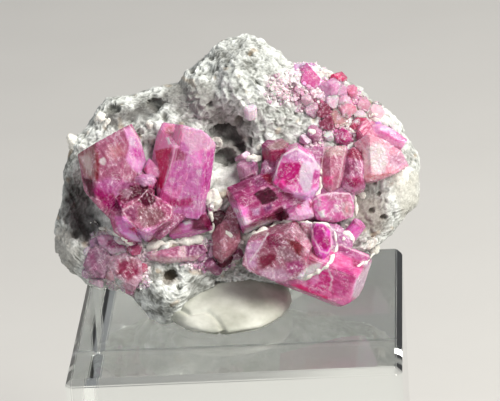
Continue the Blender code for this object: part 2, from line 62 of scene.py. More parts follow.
BLOCK_SIDE = 38.1
BLOCK_CHAMFER = 0.7
BLOCK_SOFT = 0.12                # rounding that polishing leaves on each chamfer's edges
MM = 0.001
PER_MM = 1 / MM                  # turns features to the millimetre into a pattern's scale


def linear(code):
    """An sRGB hex value as linear red, green and blue."""
    parts = [int(code[i:i + 2], 16) / 255 for i in (0, 2, 4)]
    return [p / 12.92 if p <= 0.04045 else ((p + 0.055) / 1.055) ** 2.4 for p in parts]


def add_node(tree, kind, settings=None, inputs=None):
    """Add a node.  An input that is given an output socket is linked, any other is set."""
    node = tree.nodes.new(kind)
    for name, value in (settings or {}).items():
        setattr(node, name, value)
    for name, value in (inputs or {}).items():
        if isinstance(value, bpy.types.NodeSocket):
            tree.links.new(value, node.inputs[name])
        else:
            node.inputs[name].default_value = value
    return node


def new_material(name):
    """An empty material, its node tree and its output node."""
    material = bpy.data.materials.new(name)
    material.use_nodes = True
    material.node_tree.nodes.clear()
    return material, material.node_tree, add_node(material.node_tree,
                                                  "ShaderNodeOutputMaterial")


def add_object(name, data):
    """Put a mesh, a lamp or a camera in the scene as an object."""
    made = bpy.data.objects.new(name, data)
    bpy.context.scene.collection.objects.link(made)
    return made


def mesh_from(bm, name):
    """Turn a bmesh into a mesh, and free it."""
    mesh = bpy.data.meshes.new(name)
    bm.to_mesh(mesh)
    bm.free()
    return mesh


def finish_piece(name, mesh, material, nodes=()):
    """Put a finished mesh in the scene as one piece that rides with the specimen."""
    piece = add_object(name, mesh)
    mesh.materials.clear()
    mesh.materials.append(material)
    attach(piece, "root")
    if nodes:
        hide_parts(*nodes)


# Cast acrylic, polished: see-through and colourless, with a trace of green in its depth,
# a soft haze from handling, in patches of about 11 mm, and hair scratches 1 mm apart.
acrylic, tree, output = new_material("cast acrylic, polished")
place = add_node(tree, "ShaderNodeTexCoord").outputs["Object"]
haze = add_node(tree, "ShaderNodeTexNoise", {}, {"Vector": place,
                                                 "Scale": 0.09 * PER_MM, "Detail": 3.0})
gloss = add_node(tree, "ShaderNodeMapRange", {}, {
    "Value": haze.outputs["Fac"], "From Min": 0.45, "From Max": 0.75, "To Min": 0.01,
    "To Max": 0.04})
stretched = add_node(tree, "ShaderNodeMapping", {}, {
    "Vector": place, "Rotation": (0.3, 0.2, 0.6),
    "Scale": (0.9 * PER_MM, 0.035 * PER_MM, 0.06 * PER_MM)})
scratch = add_node(tree, "ShaderNodeTexNoise", {}, {"Vector": stretched.outputs["Vector"],
                                                    "Scale": 1.0, "Detail": 1.0})
dents = add_node(tree, "ShaderNodeBump", {}, {"Height": scratch.outputs["Fac"],
                                              "Strength": 0.02, "Distance": 0.0001})
clear = add_node(tree, "ShaderNodeBsdfPrincipled", {}, {
    "Base Color": (*linear("fbfdfc"), 1), "Roughness": gloss.outputs["Result"],
    "IOR": 1.49, "Transmission Weight": 1.0, "Normal": dents.outputs["Normal"]})
depth = add_node(tree, "ShaderNodeVolumeAbsorption", {}, {
    "Color": (*linear("eef7f2"), 1), "Density": 3.0})
tree.links.new(clear.outputs["BSDF"], output.inputs["Surface"])
tree.links.new(depth.outputs["Volume"], output.inputs["Volume"])

bm = bmesh.new()
bmesh.ops.create_cube(bm, size=BLOCK_SIDE * MM)
bmesh.ops.translate(bm, verts=bm.verts, vec=(0, 0, BLOCK_SIDE / 2 * MM))
bmesh.ops.bevel(bm, geom=bm.edges, offset=BLOCK_CHAMFER * MM, segments=1, affect="EDGES")
bmesh.ops.bevel(bm, geom=bm.edges, offset=BLOCK_SOFT * MM, segments=2, affect="EDGES")
bmesh.ops.recalc_face_normals(bm, faces=bm.faces)
finish_piece("display_block", mesh_from(bm, "display_block"), acrylic,
             ["acrylic_block"])

# ====================================================================== the putty
# A lump of off-white mounting putty, kneaded by hand and pressed down, holds the rock
# upright.  Its skin is matt, finely wrinkled, and folded over itself in one deep crease.

PUTTY_MIDDLE = (-1.1, -0.9)
PUTTY_HALF = (7.2, 8.2)          # half its width, and half its depth
PUTTY_HEIGHT = 4.9
PUTTY_SLOPE = 2.4                # how far its top rises to the back, and falls to the front
PUTTY_BULGE = 1.3                # height of its widest part
PUTTY_WAVE = 0.25                # unevenness of its outline
PUTTY_KNEADED = (1.9, 0.10)      # width and height of the dents that fingers left
PUTTY_GRAIN = (0.22, 0.018)      # the same of its grain
PUTTY_WRINKLE = 0.07             # depth of its wrinkles
PUTTY_ROUNDED = 0.6              # up to this height, the relief fades out towards the block
PUTTY_DETAIL = 6                 # subdivisions of the sphere it starts as
# Where the crease runs, in world axes seen from above, its half width, its depth, and the
# height of the lip on either side.
CREASE = ((-6.9, -4.3), (-5.4, -6.2), (-3.4, -6.3), (-2.3, -7.4), (-1.4, -9.1))
CREASE_HALF = 0.26
CREASE_DEPTH = 0.42
CREASE_LIP = 0.10


def near_path(points, path):
    """Distance in a plane of each point from a path of straight steps."""
    best = np.full(len(points), 1e9)
    for start, end in zip(path[:-1], path[1:]):
        start, step = np.array(start), np.subtract(end, start)
        along = np.clip((points - start) @ step / (step @ step), 0, 1)
        away = points - start - along[:, None] * step
        best = np.minimum(best, np.linalg.norm(away, axis=1))
    return best


bm = bmesh.new()
bmesh.ops.create_icosphere(bm, subdivisions=PUTTY_DETAIL, radius=1.0)
for vert in bm.verts:
    ball = vert.co.normalized()
    spread = math.hypot(ball.x, ball.y)
    if ball.z < 0:
        reach = spread ** 0.4
        height = PUTTY_BULGE * (1 + ball.z) ** 0.7
    else:
        reach = spread
        top = PUTTY_HEIGHT + PUTTY_SLOPE * ball.y
        height = PUTTY_BULGE + (top - PUTTY_BULGE) * ball.z ** 0.9
    scale = reach / max(spread, 1e-6)
    wave = PUTTY_WAVE * noise.noise(Vector((ball.x * 2, ball.y * 2, height * 0.3)))
    vert.co = Vector((PUTTY_MIDDLE[0] + (PUTTY_HALF[0] + wave) * ball.x * scale,
                      PUTTY_MIDDLE[1] + (PUTTY_HALF[1] + wave) * ball.y * scale, height))
bmesh.ops.recalc_face_normals(bm, faces=bm.faces)
bm.normal_update()
fold = near_path(np.array([vert.co[:2] for vert in bm.verts]), CREASE)
for vert, distance in zip(bm.verts, fold):
    kneaded = PUTTY_KNEADED[1] * noise.noise(vert.co / PUTTY_KNEADED[0] + Vector((5, 1, 2)))
    wrinkle = abs(noise.noise(Vector((vert.co.x * 0.8 - vert.co.y * 0.4,
                                      vert.co.y * 2.0 + vert.co.x, vert.co.z * 2.2))))
    grain = noise.noise(vert.co / PUTTY_GRAIN[0])
    push = kneaded - PUTTY_WRINKLE * wrinkle + PUTTY_GRAIN[1] * grain
    push += CREASE_LIP * math.exp(-(distance / (3 * CREASE_HALF)) ** 2)
    push -= CREASE_DEPTH * math.exp(-(distance / CREASE_HALF) ** 2)
    vert.co += vert.normal * push * min(1.0, vert.co.z / PUTTY_ROUNDED)
for vert in bm.verts:
    vert.co = Vector((vert.co.x, vert.co.y, max(vert.co.z, 0.0) + BLOCK_SIDE)) * MM
putty_mesh = mesh_from(bm, "putty_lump")
putty_mesh.shade_smooth()

# Reusable adhesive putty: matt and slightly waxy, off-white, clouded with grey in patches
# of about 4 mm, over a grain of 0.3 mm.
putty, tree, output = new_material("mounting putty, kneaded")
place = add_node(tree, "ShaderNodeTexCoord").outputs["Object"]
cloud = add_node(tree, "ShaderNodeTexNoise", {}, {"Vector": place,
                                                  "Scale": 0.26 * PER_MM, "Detail": 5.0})
tint = add_node(tree, "ShaderNodeValToRGB", {}, {"Fac": cloud.outputs["Fac"]})
tint.color_ramp.elements[0].position = 0.32
tint.color_ramp.elements[0].color = (*linear("9c9d90"), 1)
tint.color_ramp.elements[1].position = 0.68
tint.color_ramp.elements[1].color = (*linear("cccdc2"), 1)
fine = add_node(tree, "ShaderNodeTexNoise", {}, {"Vector": place,
                                                 "Scale": 3.2 * PER_MM, "Detail": 3.0})
skin = add_node(tree, "ShaderNodeBump", {}, {"Height": fine.outputs["Fac"],
                                             "Strength": 0.35, "Distance": 0.00006})
waxy = add_node(tree, "ShaderNodeBsdfPrincipled", {}, {
    "Base Color": tint.outputs["Color"], "Roughness": 0.62, "Normal": skin.outputs["Normal"]})
tree.links.new(waxy.outputs["BSDF"], output.inputs["Surface"])
finish_piece("putty_lump", putty_mesh, putty, ["mounting_putty"])

# ======================================================================= the rock
# White rhyolite, broken off by hand: a fine chalky rock with lumps, ledges, gas pits and
# knobs.  Clay and sugary grains coat it, and pink stains mark where crystals grew.

# The rock's front face: its middle in world axes, and how it stands.  Points on it are
# (across, up, out) in millimetres from that middle.
FACE_MIDDLE = (0.3, 3.3, BLOCK_SIDE + 15.2)
FACE_LEAN = math.radians(20.2)   # leans back from upright
FACE_TURN = math.radians(3.5)    # faces a little to the left
FACE_ROLL = math.radians(3.7)    # right end hangs a little lower
ROCK_RISE = 3.6                  # how far the middle of the front stands out
ROCK_BACK = 11.0                 # how far the back lies behind the rim
ROCK_SQUARE = 0.72               # 1 is an ellipsoid, and less has squarer shoulders
ROCK_LUMP = (4.2, 1.1)           # size and height of the coarse lumps
ROCK_GRIT = (1.7, 0.6)           # size and height of the small lumps
ROCK_WORN = 0.75                 # share of that height on the front
ROCK_FADE = 6                    # the relief fades out over a sixth of the way to the rim
# Finer relief over those, as size and height: lumps, then chips, then grains.
FINE_LUMPS = (1.35, 0.34)
FINE_CHIPS = (0.62, 0.26)
FINE_GRAINS = (0.20, 0.08)
FINE_BEND = (0.8, 0.55)          # size and reach of the noise that bends the lumps
BEND_SHIFTS = (Vector((0, 0, 0)), Vector((31, 17, 5)), Vector((7, 41, 23)))
ROUGH_PATCH = 2.6                # size of the rougher and smoother patches
LOBE_MIDDLE = (0.5, 11.5)        # the thick upper lobe, which has slanting ridges
LOBE_HALF = (8.5, 6.5)
LOBE_RIDGE = 0.65                # height of those ridges
GAS_PIT = (3.1, 0.24, 0.7)       # spacing of the gas pits, their share of it, and depth
# The outline of its front (across, up).
ROCK_RIM = (
    (1.4, 16.8), (3.2, 16.1), (5.3, 15.2), (6.4, 13.9), (8.9, 13.2), (10.3, 12.4),
    (12.6, 11.7), (14.4, 10.7), (15.4, 9.6), (16.7, 8.9), (18.4, 7.9), (19.0, 6.8),
    (20.3, 4.8), (21.2, 2.9), (21.6, 0.6), (21.5, -1.8), (20.8, -3.5), (19.3, -4.9),
    (18.0, -6.4), (15.9, -8.2), (13.0, -9.3), (9.9, -10.8), (6.7, -11.8), (4.1, -12.0),
    (1.8, -11.9), (0.0, -12.1), (-1.5, -12.5), (-3.5, -13.6), (-5.5, -15.0), (-6.9, -16.4),
    (-8.4, -17.2), (-9.9, -16.2), (-11.1, -14.8), (-12.8, -12.8), (-16.9, -12.2),
    (-19.3, -11.0), (-20.4, -9.9), (-21.0, -8.2), (-20.9, -4.7), (-20.1, 0.0), (-19.4, 2.2),
    (-19.5, 4.3), (-18.7, 5.2), (-17.2, 6.2), (-16.2, 8.0), (-14.6, 9.6), (-9.9, 10.5),
    (-6.7, 11.4), (-6.0, 12.7), (-2.9, 14.6), (-2.0, 15.8), (-0.4, 16.5),
)
# Mounds and hollows of the front: across, up, half width, half height, rise, softness.
ROCK_RELIEF = (
    (1.5, 11.8, 6.5, 4.6, 2.4, 0.22),       # thick upper lobe, with a ledge under it
    (-1.0, 4.6, 2.6, 3.2, -2.6, 0.18),      # cavity under that ledge
    (-1.6, 5.3, 1.2, 1.0, -1.3, 0.20),      # scoop in the cavity
    (-1.0, 2.6, 0.9, 0.8, -2.0, 0.15),      # round pit below it
    (-10.5, 8.8, 2.0, 1.3, -1.2, 0.25),     # scoop above the left cluster
    (-2.4, 12.3, 1.3, 2.4, -1.2, 0.25),     # scoop in the upper lobe
    (-17.5, -2.8, 2.6, 4.2, -2.6, 0.20),    # shaded recess at the left end
    (-19.2, -7.4, 1.6, 2.6, 1.3, 0.25),     # rough lumps at its lower edge
    (-9.0, -13.4, 3.6, 2.2, 1.6, 0.30),     # foot of the rock
    (-7.6, -11.1, 0.8, 0.7, -1.2, 0.15),    # small open pit
    (0.2, -10.9, 2.4, 1.5, -1.8, 0.25),     # dark recess above the putty
    (19.0, -2.6, 2.2, 2.8, 0.9, 0.30),      # right shoulder
    (-18.7, 4.4, 0.8, 0.8, 1.4, 0.15),      # white knobs
    (-2.0, 4.6, 0.5, 0.5, 1.4, 0.15),
    (-2.7, -2.3, 0.9, 1.1, 1.8, 0.15),
)
# Open gas pits, with crisp edges: across, up, half width, half height, depth.
ROCK_PITS = (
    (-1.9, 6.1, 0.50, 0.32, 0.9), (-1.1, 6.0, 0.60, 0.42, 1.3), (-0.35, 5.3, 0.55, 0.50, 1.2),
    (0.25, 4.6, 0.52, 0.52, 1.2), (0.65, 3.8, 0.42, 0.55, 1.1), (-1.1, 2.7, 0.95, 0.70, 1.5),
    (0.4, 6.8, 0.42, 0.50, 1.0), (1.6, 4.5, 0.22, 0.45, 0.8), (-7.5, -11.0, 0.60, 0.45, 0.7),
    (-6.4, -12.4, 0.30, 0.25, 0.6), (-14.2, 8.3, 0.80, 0.45, 0.7), (-9.4, 8.9, 0.90, 0.50, 0.7),
    (-3.0, 8.6, 0.30, 0.25, 0.6), (4.1, 9.3, 0.25, 0.22, 0.5), (15.8, -3.6, 0.35, 0.30, 0.6),
    (17.2, -4.4, 0.45, 0.25, 0.6), (16.6, -1.6, 0.25, 0.25, 0.5), (-18.6, -6.2, 0.45, 0.40, 0.8),
    (-1.9, -12.1, 0.50, 0.30, 0.7), (-12.0, -13.6, 0.25, 0.25, 0.5), (-4.9, 13.2, 0.40, 0.80, 0.7),
)

# Flat breaks across the back: the direction each one faces and its distance.
ROCK_BREAKS = (
    ((0.32, 0.38, -0.87), 9.3), ((-0.48, 0.12, -0.87), 10.2), ((0.05, -0.72, -0.69), 12.4),
    ((0.78, -0.12, -0.61), 17.3), ((-0.55, 0.62, -0.56), 14.1), ((-0.72, -0.25, -0.65), 16.8),
)

# Colour laid on the front, one painted shadow among it: hex, softness of its edge, and its outline
# (across, up).
PINK_STAINS_AND_SHADOW = (
    # under the crust of small crystals
    ("c4adb2", 0.8, ((4, 11.4), (7, 12), (6.5, 9.1), (4, 9.5))),
    ("b07d92", 0.5, ((6.2, 10.5), (9.3, 10.5), (9.9, 8.3), (7.4, 8))),
    ("d6a6c0", 0.5, ((9.3, 11), (12.4, 10.8), (12.9, 9.1), (9.8, 8.7))),
    ("e8b4dc", 0.3, ((6.7, 13.4), (9.3, 13.5), (9.1, 12.2), (6.9, 12.1))),
    ("e080b4", 0.3, ((7.8, 12.1), (10.3, 12.3), (10.1, 10.6), (7.9, 10.8))),
    ("f4eeee", 0.2, ((9.7, 12.8), (11, 12.6), (11.1, 11.8), (9.9, 11.8))),
    ("d65484", 0.3, ((10.7, 12), (12.6, 11.9), (12.4, 10.8), (11, 10.9))),
    ("dd88ae", 0.4, ((12.8, 10.8), (15, 9.6), (15, 8.1), (12.9, 8.7))),
    # painted shadow in the hollow between the crust's crystals
    ("96405f", 0.3, ((9.6, 9.1), (10.9, 8.8), (11.4, 6.3), (9.9, 6))),
    ("e4bab4", 0.4, ((11.1, 8.5), (13.2, 8.2), (12.9, 6.3), (11.3, 6.3))),
    ("cc5680", 0.4, ((13.7, 7), (15.9, 7), (15.8, 5.5), (14, 5.5))),
    ("f5eff0", 0.4, ((14.9, 8.7), (16.7, 8.4), (18.6, 6), (16.8, 6.7))),
    ("c27a9c", 0.4, ((8.7, 6.1), (10.2, 6.4), (10.5, 4.3), (8.4, 4.6))),
    ("a85a7a", 0.3, ((11.4, 6.1), (13.5, 6.1), (13.3, 4.5), (11.5, 4.5))),
    # round the three crystals at the lower left
    ("e6c4d2", 0.6, ((-17.0, -7.4), (-15.8, -6.2), (-12.6, -6.8), (-10.2, -8.4), (-10.2, -11.6),
        (-12.4, -12.8), (-15.6, -11.6), (-17.2, -10.2))),
    # below the blade, and round the faded crystals
    ("c48cab", 0.6, ((-5.6, -7.0), (-2.0, -7.4), (-0.4, -10.0), (-3.6, -10.6), (-5.8, -9.6))),
    ("b8809c", 0.6, ((-3.2, -2.6), (0.6, -6.8), (-0.2, -9.4), (-2.2, -7.4))),
    # beside the upright crystals at the right
    ("dba6c0", 0.6, ((8.4, 4.4), (10.4, 4.6), (10.2, -2.2), (8.2, -1.8))),
)
# Tones of the bare rock, and painted shade in its hollows and shaded parts, in the same terms.
ROCK_TONES_AND_SHADE = (
    # painted shade in the cavity, in its deepest part, and in the round pit
    ("9c9893", 1.2, ((-2.4, 6.6), (0.6, 7.4), (1.4, 4.6), (0.2, 2.4), (-1.6, 1.4), (-2.6, 3.4))),
    ("6b6562", 0.4, ((-2.3, 6.2), (-1.0, 6.4), (0.3, 5.4), (1.1, 3.7), (0.7, 3.2), (0, 4.2),
        (-0.7, 5.4), (-1.6, 5.8))),
    ("48433f", 0.4, ((-2.0, 3.3), (-0.6, 3.4), (-0.1, 2.5), (-1.1, 2.0), (-2.0, 2.3))),
    # shaded recess at the left end
    ("2e2c2b", 1.4, ((-19.6, 0.8), (-17.6, -0.4), (-15.4, -5.0), (-16.4, -7.0), (-19.0, -6.4),
        (-20.6, -4.0))),
    # shade above the left cluster
    ("5d5a57", 1.0, ((-16.4, 6.4), (-13.0, 8.4), (-9.0, 9.0), (-9.2, 7.2), (-13.6, 6.6))),
    # bare rock at the right, and the right shoulder
    ("8a8078", 1.5, ((11.8, -1.0), (14.4, -1.8), (17.6, -1.6), (17.4, -5.6), (14.4, -6.2))),
    ("bfbdb3", 1.0, ((18.0, 0.4), (21.4, 1.0), (21.6, -2.4), (19.4, -4.6), (18.6, -2.0))),
    # painted shade on the left side of the upper lobe, and the tone of the lower left rim
    ("84827d", 1.4, ((-7.0, 11.6), (-2.6, 10.8), (-1.2, 7.4), (-5.4, 7.2), (-8.6, 9.4))),
    ("a5a39d", 0.7, ((-21.2, -5.2), (-19.6, -5.8), (-18.4, -8.0), (-18.2, -9.8), (-19.6, -11.2),
        (-21.2, -9.2))),
    # pit in the foot
    ("6d6152", 0.8, ((-8.6, -10.6), (-7.0, -10.4), (-6.6, -11.8), (-8.2, -12.0))),
)

FACE = Matrix.LocRotScale(Vector(FACE_MIDDLE), Euler((-FACE_LEAN, FACE_ROLL, FACE_TURN),
                                                     "YXZ"), None)


def as_mesh(point):
    """(across, up, out) in the axes that a mesh on the rock's face is made in."""
    return Vector((point.x, -point.z, point.y))


def as_face(place):
    """A place in those axes as (across, up, out)."""
    return Vector((place.x, place.z, -place.y))


def to_world(point):
    """(across, up, out) in millimetres to the world, in metres."""
    return FACE @ as_mesh(point) * MM


def rim_distance(angle):
    """Distance from the middle of the face to the rim, in the direction of the angle."""
    ray_x, ray_y = math.cos(angle), math.sin(angle)
    best = 0.0
    for index, (x0, y0) in enumerate(ROCK_RIM):
        x1, y1 = ROCK_RIM[(index + 1) % len(ROCK_RIM)]
        dx, dy = x1 - x0, y1 - y0
        turn = ray_x * dy - ray_y * dx
        if abs(turn) < 1e-9:
            continue
        along_ray = (x0 * dy - y0 * dx) / turn
        along_edge = (x0 * ray_y - y0 * ray_x) / turn
        if along_ray > 0 and -1e-9 <= along_edge <= 1 + 1e-9:
            best = max(best, along_ray)
    return best


RIM_STEPS = 2880
RIM_TABLE = [rim_distance(2 * math.pi * step / RIM_STEPS) for step in range(RIM_STEPS)]


def rim_at(angle):
    """The same, read from a table."""
    place = angle / (2 * math.pi) % 1.0 * RIM_STEPS
    low = int(place) % RIM_STEPS
    part = place - int(place)
    return RIM_TABLE[low] * (1 - part) + RIM_TABLE[(low + 1) % RIM_STEPS] * part


def relief(across, up):
    """Mounds and hollows of the front face at one place."""
    height = 0.0
    for middle_x, middle_y, half_x, half_y, rise, softness in ROCK_RELIEF:
        distance = math.hypot((across - middle_x) / half_x, (up - middle_y) / half_y)
        height += rise / (1 + math.exp(min((distance - 1) / softness, 50)))
    return height


def lumpiness(across, up, out):
    """Coarse and small lumps of the broken surface, in millimetres."""
    place = Vector((across, up, out))
    coarse = noise.noise(place / ROCK_LUMP[0] + Vector((3.1, 7.7, 1.9)))
    cobbles = 0.45 - noise.voronoi(place / ROCK_GRIT[0])[0][0]
    return ROCK_LUMP[1] * coarse + ROCK_GRIT[1] * cobbles


def rock_front(across, up):
    """How far the rock's front face stands out at one place."""
    share = min(math.hypot(across, up) / rim_at(math.atan2(up, across)), 1.0)
    crown = max(1 - share ** (2 / ROCK_SQUARE), 0.0) ** (ROCK_SQUARE / 2)
    return ROCK_RISE * crown + relief(across, up) * min(1.0, (1 - share) * ROCK_FADE)


def rock_point(direction):
    """Move a point of the unit sphere onto the rock's surface (across, up, out)."""
    spread = math.hypot(direction.x, direction.z)
    angle = math.atan2(direction.z, direction.x)
    reach = rim_at(angle) * spread ** ROCK_SQUARE
    across, up = reach * math.cos(angle), reach * math.sin(angle)
    if direction.y < 0:
        out = rock_front(across, up)
    else:
        out = -ROCK_BACK * abs(direction.y) ** ROCK_SQUARE
    place = Vector((across, up, out))
    for facing, distance in ROCK_BREAKS:
        place *= min(1.0, distance / max(place.dot(Vector(facing)), 0.001))
    # The lumps stand out less sideways, and less near the rim, so that its outline stays.
    push = lumpiness(across, up, out) * (1.0 if direction.y > 0 else ROCK_WORN)
    outward = min(1.0, 0.35 + (1 - spread) * 3)
    return place + push * Vector((direction.x * 0.6, direction.z * 0.6,
                                  -direction.y * outward))


def inside(points, outline):
    """Distance of each point inside an outline, or minus its distance outside it."""
    crossed = np.zeros(len(points), bool)
    for (x0, y0), (x1, y1) in zip(outline, outline[1:] + outline[:1]):
        spans = (y0 > points[:, 1]) != (y1 > points[:, 1])
        slope = (x1 - x0) / (y1 - y0 if y1 != y0 else 1e-9)
        crossed ^= spans & (points[:, 0] < x0 + slope * (points[:, 1] - y0))
    return near_path(points, outline + outline[:1]) * np.where(crossed, 1, -1)


def soft_mask(points, outline, softness):
    """1 inside an outline and 0 outside, over a soft edge."""
    return np.clip(0.5 + inside(points, outline) / softness, 0, 1)


def layer(colours, mask, code):
    """Lay a colour over others by a mask."""
    mask = mask[:, None]
    colours[:] = colours * (1 - mask) + np.array(linear(code)) * mask


def store(mesh, name, kind, values):
    """Keep numbers on a mesh's points, for its material to read."""
    attribute = mesh.attributes.new(name, kind, "POINT")
    if kind == "FLOAT_COLOR":
        values = np.hstack([values, np.ones((len(values), 1))])
    key = {"FLOAT": "value", "FLOAT_COLOR": "color", "FLOAT_VECTOR": "vector"}[kind]
    attribute.data.foreach_set(key, np.asarray(values, np.float32).ravel())


ROCK_DETAIL = 7                  # subdivisions of the sphere it starts as
ROCK_FINE = -0.10                # forward of here on the sphere, it is subdivided once more
ROCK_WHITE = "ecefea"
ROCK_GREY = "74756f"
ROCK_RUST = "a58f72"
CRUST_PINK = "d9b4c4"            # colour of the crust where no stain is drawn
CRUST_BED = "e6cdd6"             # colour of the rock under the crust
ROCK_CLEAR = 0.3                 # least height of the rock above the block


def fine_relief(place):
    """Height of the fine relief at a place of the mesh, and its whiteness, greyed in pits as
    painted shade.
    """
    bent = place + FINE_BEND[1] * Vector([noise.noise(place / FINE_BEND[0] + shift)
                                          for shift in BEND_SHIFTS])
    lump = 0.5 - noise.voronoi(bent / FINE_LUMPS[0])[0][0]
    chip = 0.35 - abs(noise.noise(bent / FINE_CHIPS[0])) * 1.6
    grain = noise.noise(place / FINE_GRAINS[0])
    rough = noise.noise(place / ROUGH_PATCH + Vector((9, 3, 4)))
    height = (FINE_LUMPS[1] * lump + FINE_CHIPS[1] * chip) * (0.85 + 0.7 * rough)
    height += FINE_GRAINS[1] * grain
    # slanting ridges on the thick upper lobe
    lobe = max(0.0, 1 - math.hypot((place.x - LOBE_MIDDLE[0]) / LOBE_HALF[0],
                                   (place.z - LOBE_MIDDLE[1]) / LOBE_HALF[1]) ** 2)
    ridge = noise.noise(Vector((place.x * 0.85 + place.z * 0.55, place.z * 0.22,
                                place.y * 0.5)))
    height += LOBE_RIDGE * lobe * (0.4 - abs(ridge) * 2) * (0.5 + 1.2 * rough)
    # small gas pits on the rougher patches, and the open ones drawn on the front
    spacing, share, pit_depth = GAS_PIT
    cell = noise.voronoi(place / spacing + Vector((2, 8, 5)))[0][0]
    pit = max(0.0, 1 - cell / share) if rough > 0.05 else 0.0
    height -= pit_depth * pit ** 0.7
    if place.y < 0:
        for across, up, half_x, half_y, depth in ROCK_PITS:
            edge = math.hypot((place.x - across + 0.2 * rough) / half_x,
                              (place.z - up + 0.25 * grain) / half_y)
            if edge < 1.3:
                hollow = min(1.0, (1.3 - edge) / 0.5)
                height -= depth * hollow
                pit = max(pit, 1.3 * hollow)
    # whiter on raised lumps and chips, greyer in pits: partly the rock's own mottling, partly
    # painted shade
    white = 0.50 + 0.95 * lump + 0.55 * chip + 0.45 * rough + 0.35 * grain - 0.9 * pit
    return height, white


bm = bmesh.new()
bmesh.ops.create_icosphere(bm, subdivisions=ROCK_DETAIL, radius=1.0)
fine = [edge for edge in bm.edges
        if any(face.calc_center_median().y < ROCK_FINE for face in edge.link_faces)]
bmesh.ops.subdivide_edges(bm, edges=fine, cuts=1, use_grid_fill=True)
bmesh.ops.triangulate(bm, faces=bm.faces)
for vert in bm.verts:
    vert.co = as_mesh(rock_point(vert.co.normalized()))
bmesh.ops.recalc_face_normals(bm, faces=bm.faces)
bm.normal_update()
fine_relief_here = [fine_relief(vert.co) for vert in bm.verts]
for vert, (height, _) in zip(bm.verts, fine_relief_here):
    vert.co += vert.normal * height
whiteness_and_shade = np.array([white for _, white in fine_relief_here])

# Its colours, painted shade among them, are laid on by those numbers, and by outlines whose edges
# wander a little.
points = np.array([(vert.co.x, vert.co.z) for vert in bm.verts])
front_only = np.clip((np.array([-vert.co.y for vert in bm.verts]) + 1.5) / 2, 0, 1)
jitter = np.array([(noise.noise(Vector((x, y, 0)) * 1.3), noise.noise(Vector((y, x, 7)) * 1.3))
                   for x, y in points])
rusty = np.array([noise.noise(Vector((x, y, 3)) * 0.9) for x, y in points])
colours = np.tile(linear(ROCK_GREY), (len(points), 1))
layer(colours, np.clip(whiteness_and_shade, 0, 1), ROCK_WHITE)
layer(colours, np.clip((rusty - 0.38) * 4, 0, 0.55), ROCK_RUST)
# lay the rock's tones, and the painted shade in its hollows and recesses
for code, softness, outline in ROCK_TONES_AND_SHADE:
    layer(colours, soft_mask(points + 0.5 * jitter, outline, softness) * front_only * 0.8, code)
# the stains, with their painted shadow, also colour the crust's small crystals
crust_share = np.zeros(len(points))
crust_colours_and_shadow = np.tile(linear(CRUST_PINK), (len(points), 1))
for code, softness, outline in PINK_STAINS_AND_SHADOW:
    mask = soft_mask(points + 0.35 * jitter, outline, softness * 2) * front_only
    crust_share = np.maximum(crust_share, mask)
    layer(crust_colours_and_shadow, mask, code)
layer(colours, crust_share * 0.85, CRUST_BED)
for vert in bm.verts:
    vert.co = to_world(as_face(vert.co))
    vert.co.z = max(vert.co.z, (BLOCK_SIDE + ROCK_CLEAR) * MM)
bmesh.ops.recalc_face_normals(bm, faces=bm.faces)
rock_mesh = mesh_from(bm, "rhyolite_rock")
rock_mesh.shade_smooth()
store(rock_mesh, "tint", "FLOAT_COLOR", colours)
store(rock_mesh, "crust", "FLOAT", crust_share)
store(rock_mesh, "crust_tint", "FLOAT_COLOR", crust_colours_and_shadow)

# Rhyolite with a chalky, clay-coated skin: quite matt, with a grit of about a quarter of a
# millimetre.  It is near white on
#  its grains and grey between them, darker where the grit's bump is low: partly its own tone,
#  partly painted shade.
rhyolite, tree, output = new_material("rhyolite, broken and clay-coated")
place = add_node(tree, "ShaderNodeTexCoord").outputs["Object"]
laid = add_node(tree, "ShaderNodeAttribute", {"attribute_name": "tint"})
grit = add_node(tree, "ShaderNodeTexNoise", {}, {
    "Vector": place, "Scale": 4.2 * PER_MM, "Detail": 4.0, "Roughness": 0.65})
# the grit darkens the laid colour where its bump is low: painted shade in the small hollows
shade = add_node(tree, "ShaderNodeMapRange", {}, {
    "Value": grit.outputs["Fac"], "From Min": 0.3, "From Max": 0.7, "To Min": 0.72,
    "To Max": 1.12})
grit_and_shade = add_node(tree, "ShaderNodeMix", {"data_type": "RGBA", "blend_type": "MULTIPLY"},
                  {0: 1.0, 6: laid.outputs["Color"], 7: shade.outputs["Result"]})
relief_bump = add_node(tree, "ShaderNodeBump", {}, {"Height": grit.outputs["Fac"],
                                                    "Strength": 0.6, "Distance": 0.00012})
chalk = add_node(tree, "ShaderNodeBsdfPrincipled", {}, {
    "Base Color": grit_and_shade.outputs[2], "Roughness": 0.92,
    "Normal": relief_bump.outputs["Normal"]})
tree.links.new(chalk.outputs["BSDF"], output.inputs["Surface"])
finish_piece("rhyolite_rock", rock_mesh, rhyolite, ["matrix"])

# ===================================================== the large crystals at the left
# Red beryl: six-sided crystals that grew in the rock's hollows, pink to magenta, glassy on
# their faces and cloudy within.  Two large ones lean apart, and two broken ones fill the
# space between them.  What grew as one group is one solid.

CRYSTAL_EDGE = 0.10              # rounding of the natural edges
CRYSTAL_STEP = 0.20              # longest edge left on the faces that are seen
CRYSTAL_HIDDEN = 0.9             # and on those turned to the back
BACKWARD = 0.35                  # how far back a face must look to count as one of them
SPLITS = 9                       # most times that an edge is halved
UNCUT = 60.0                     # side of the block that each crystal is cut from
WELD = 0.003                     # points nearer than this are made one
GROWTH_STEPS = (3.2, 3.2, 0.35)  # growth steps to the millimetre, across and along
ETCH_PITS = (2.1, 4.7)           # etch pits to the millimetre, coarse and fine


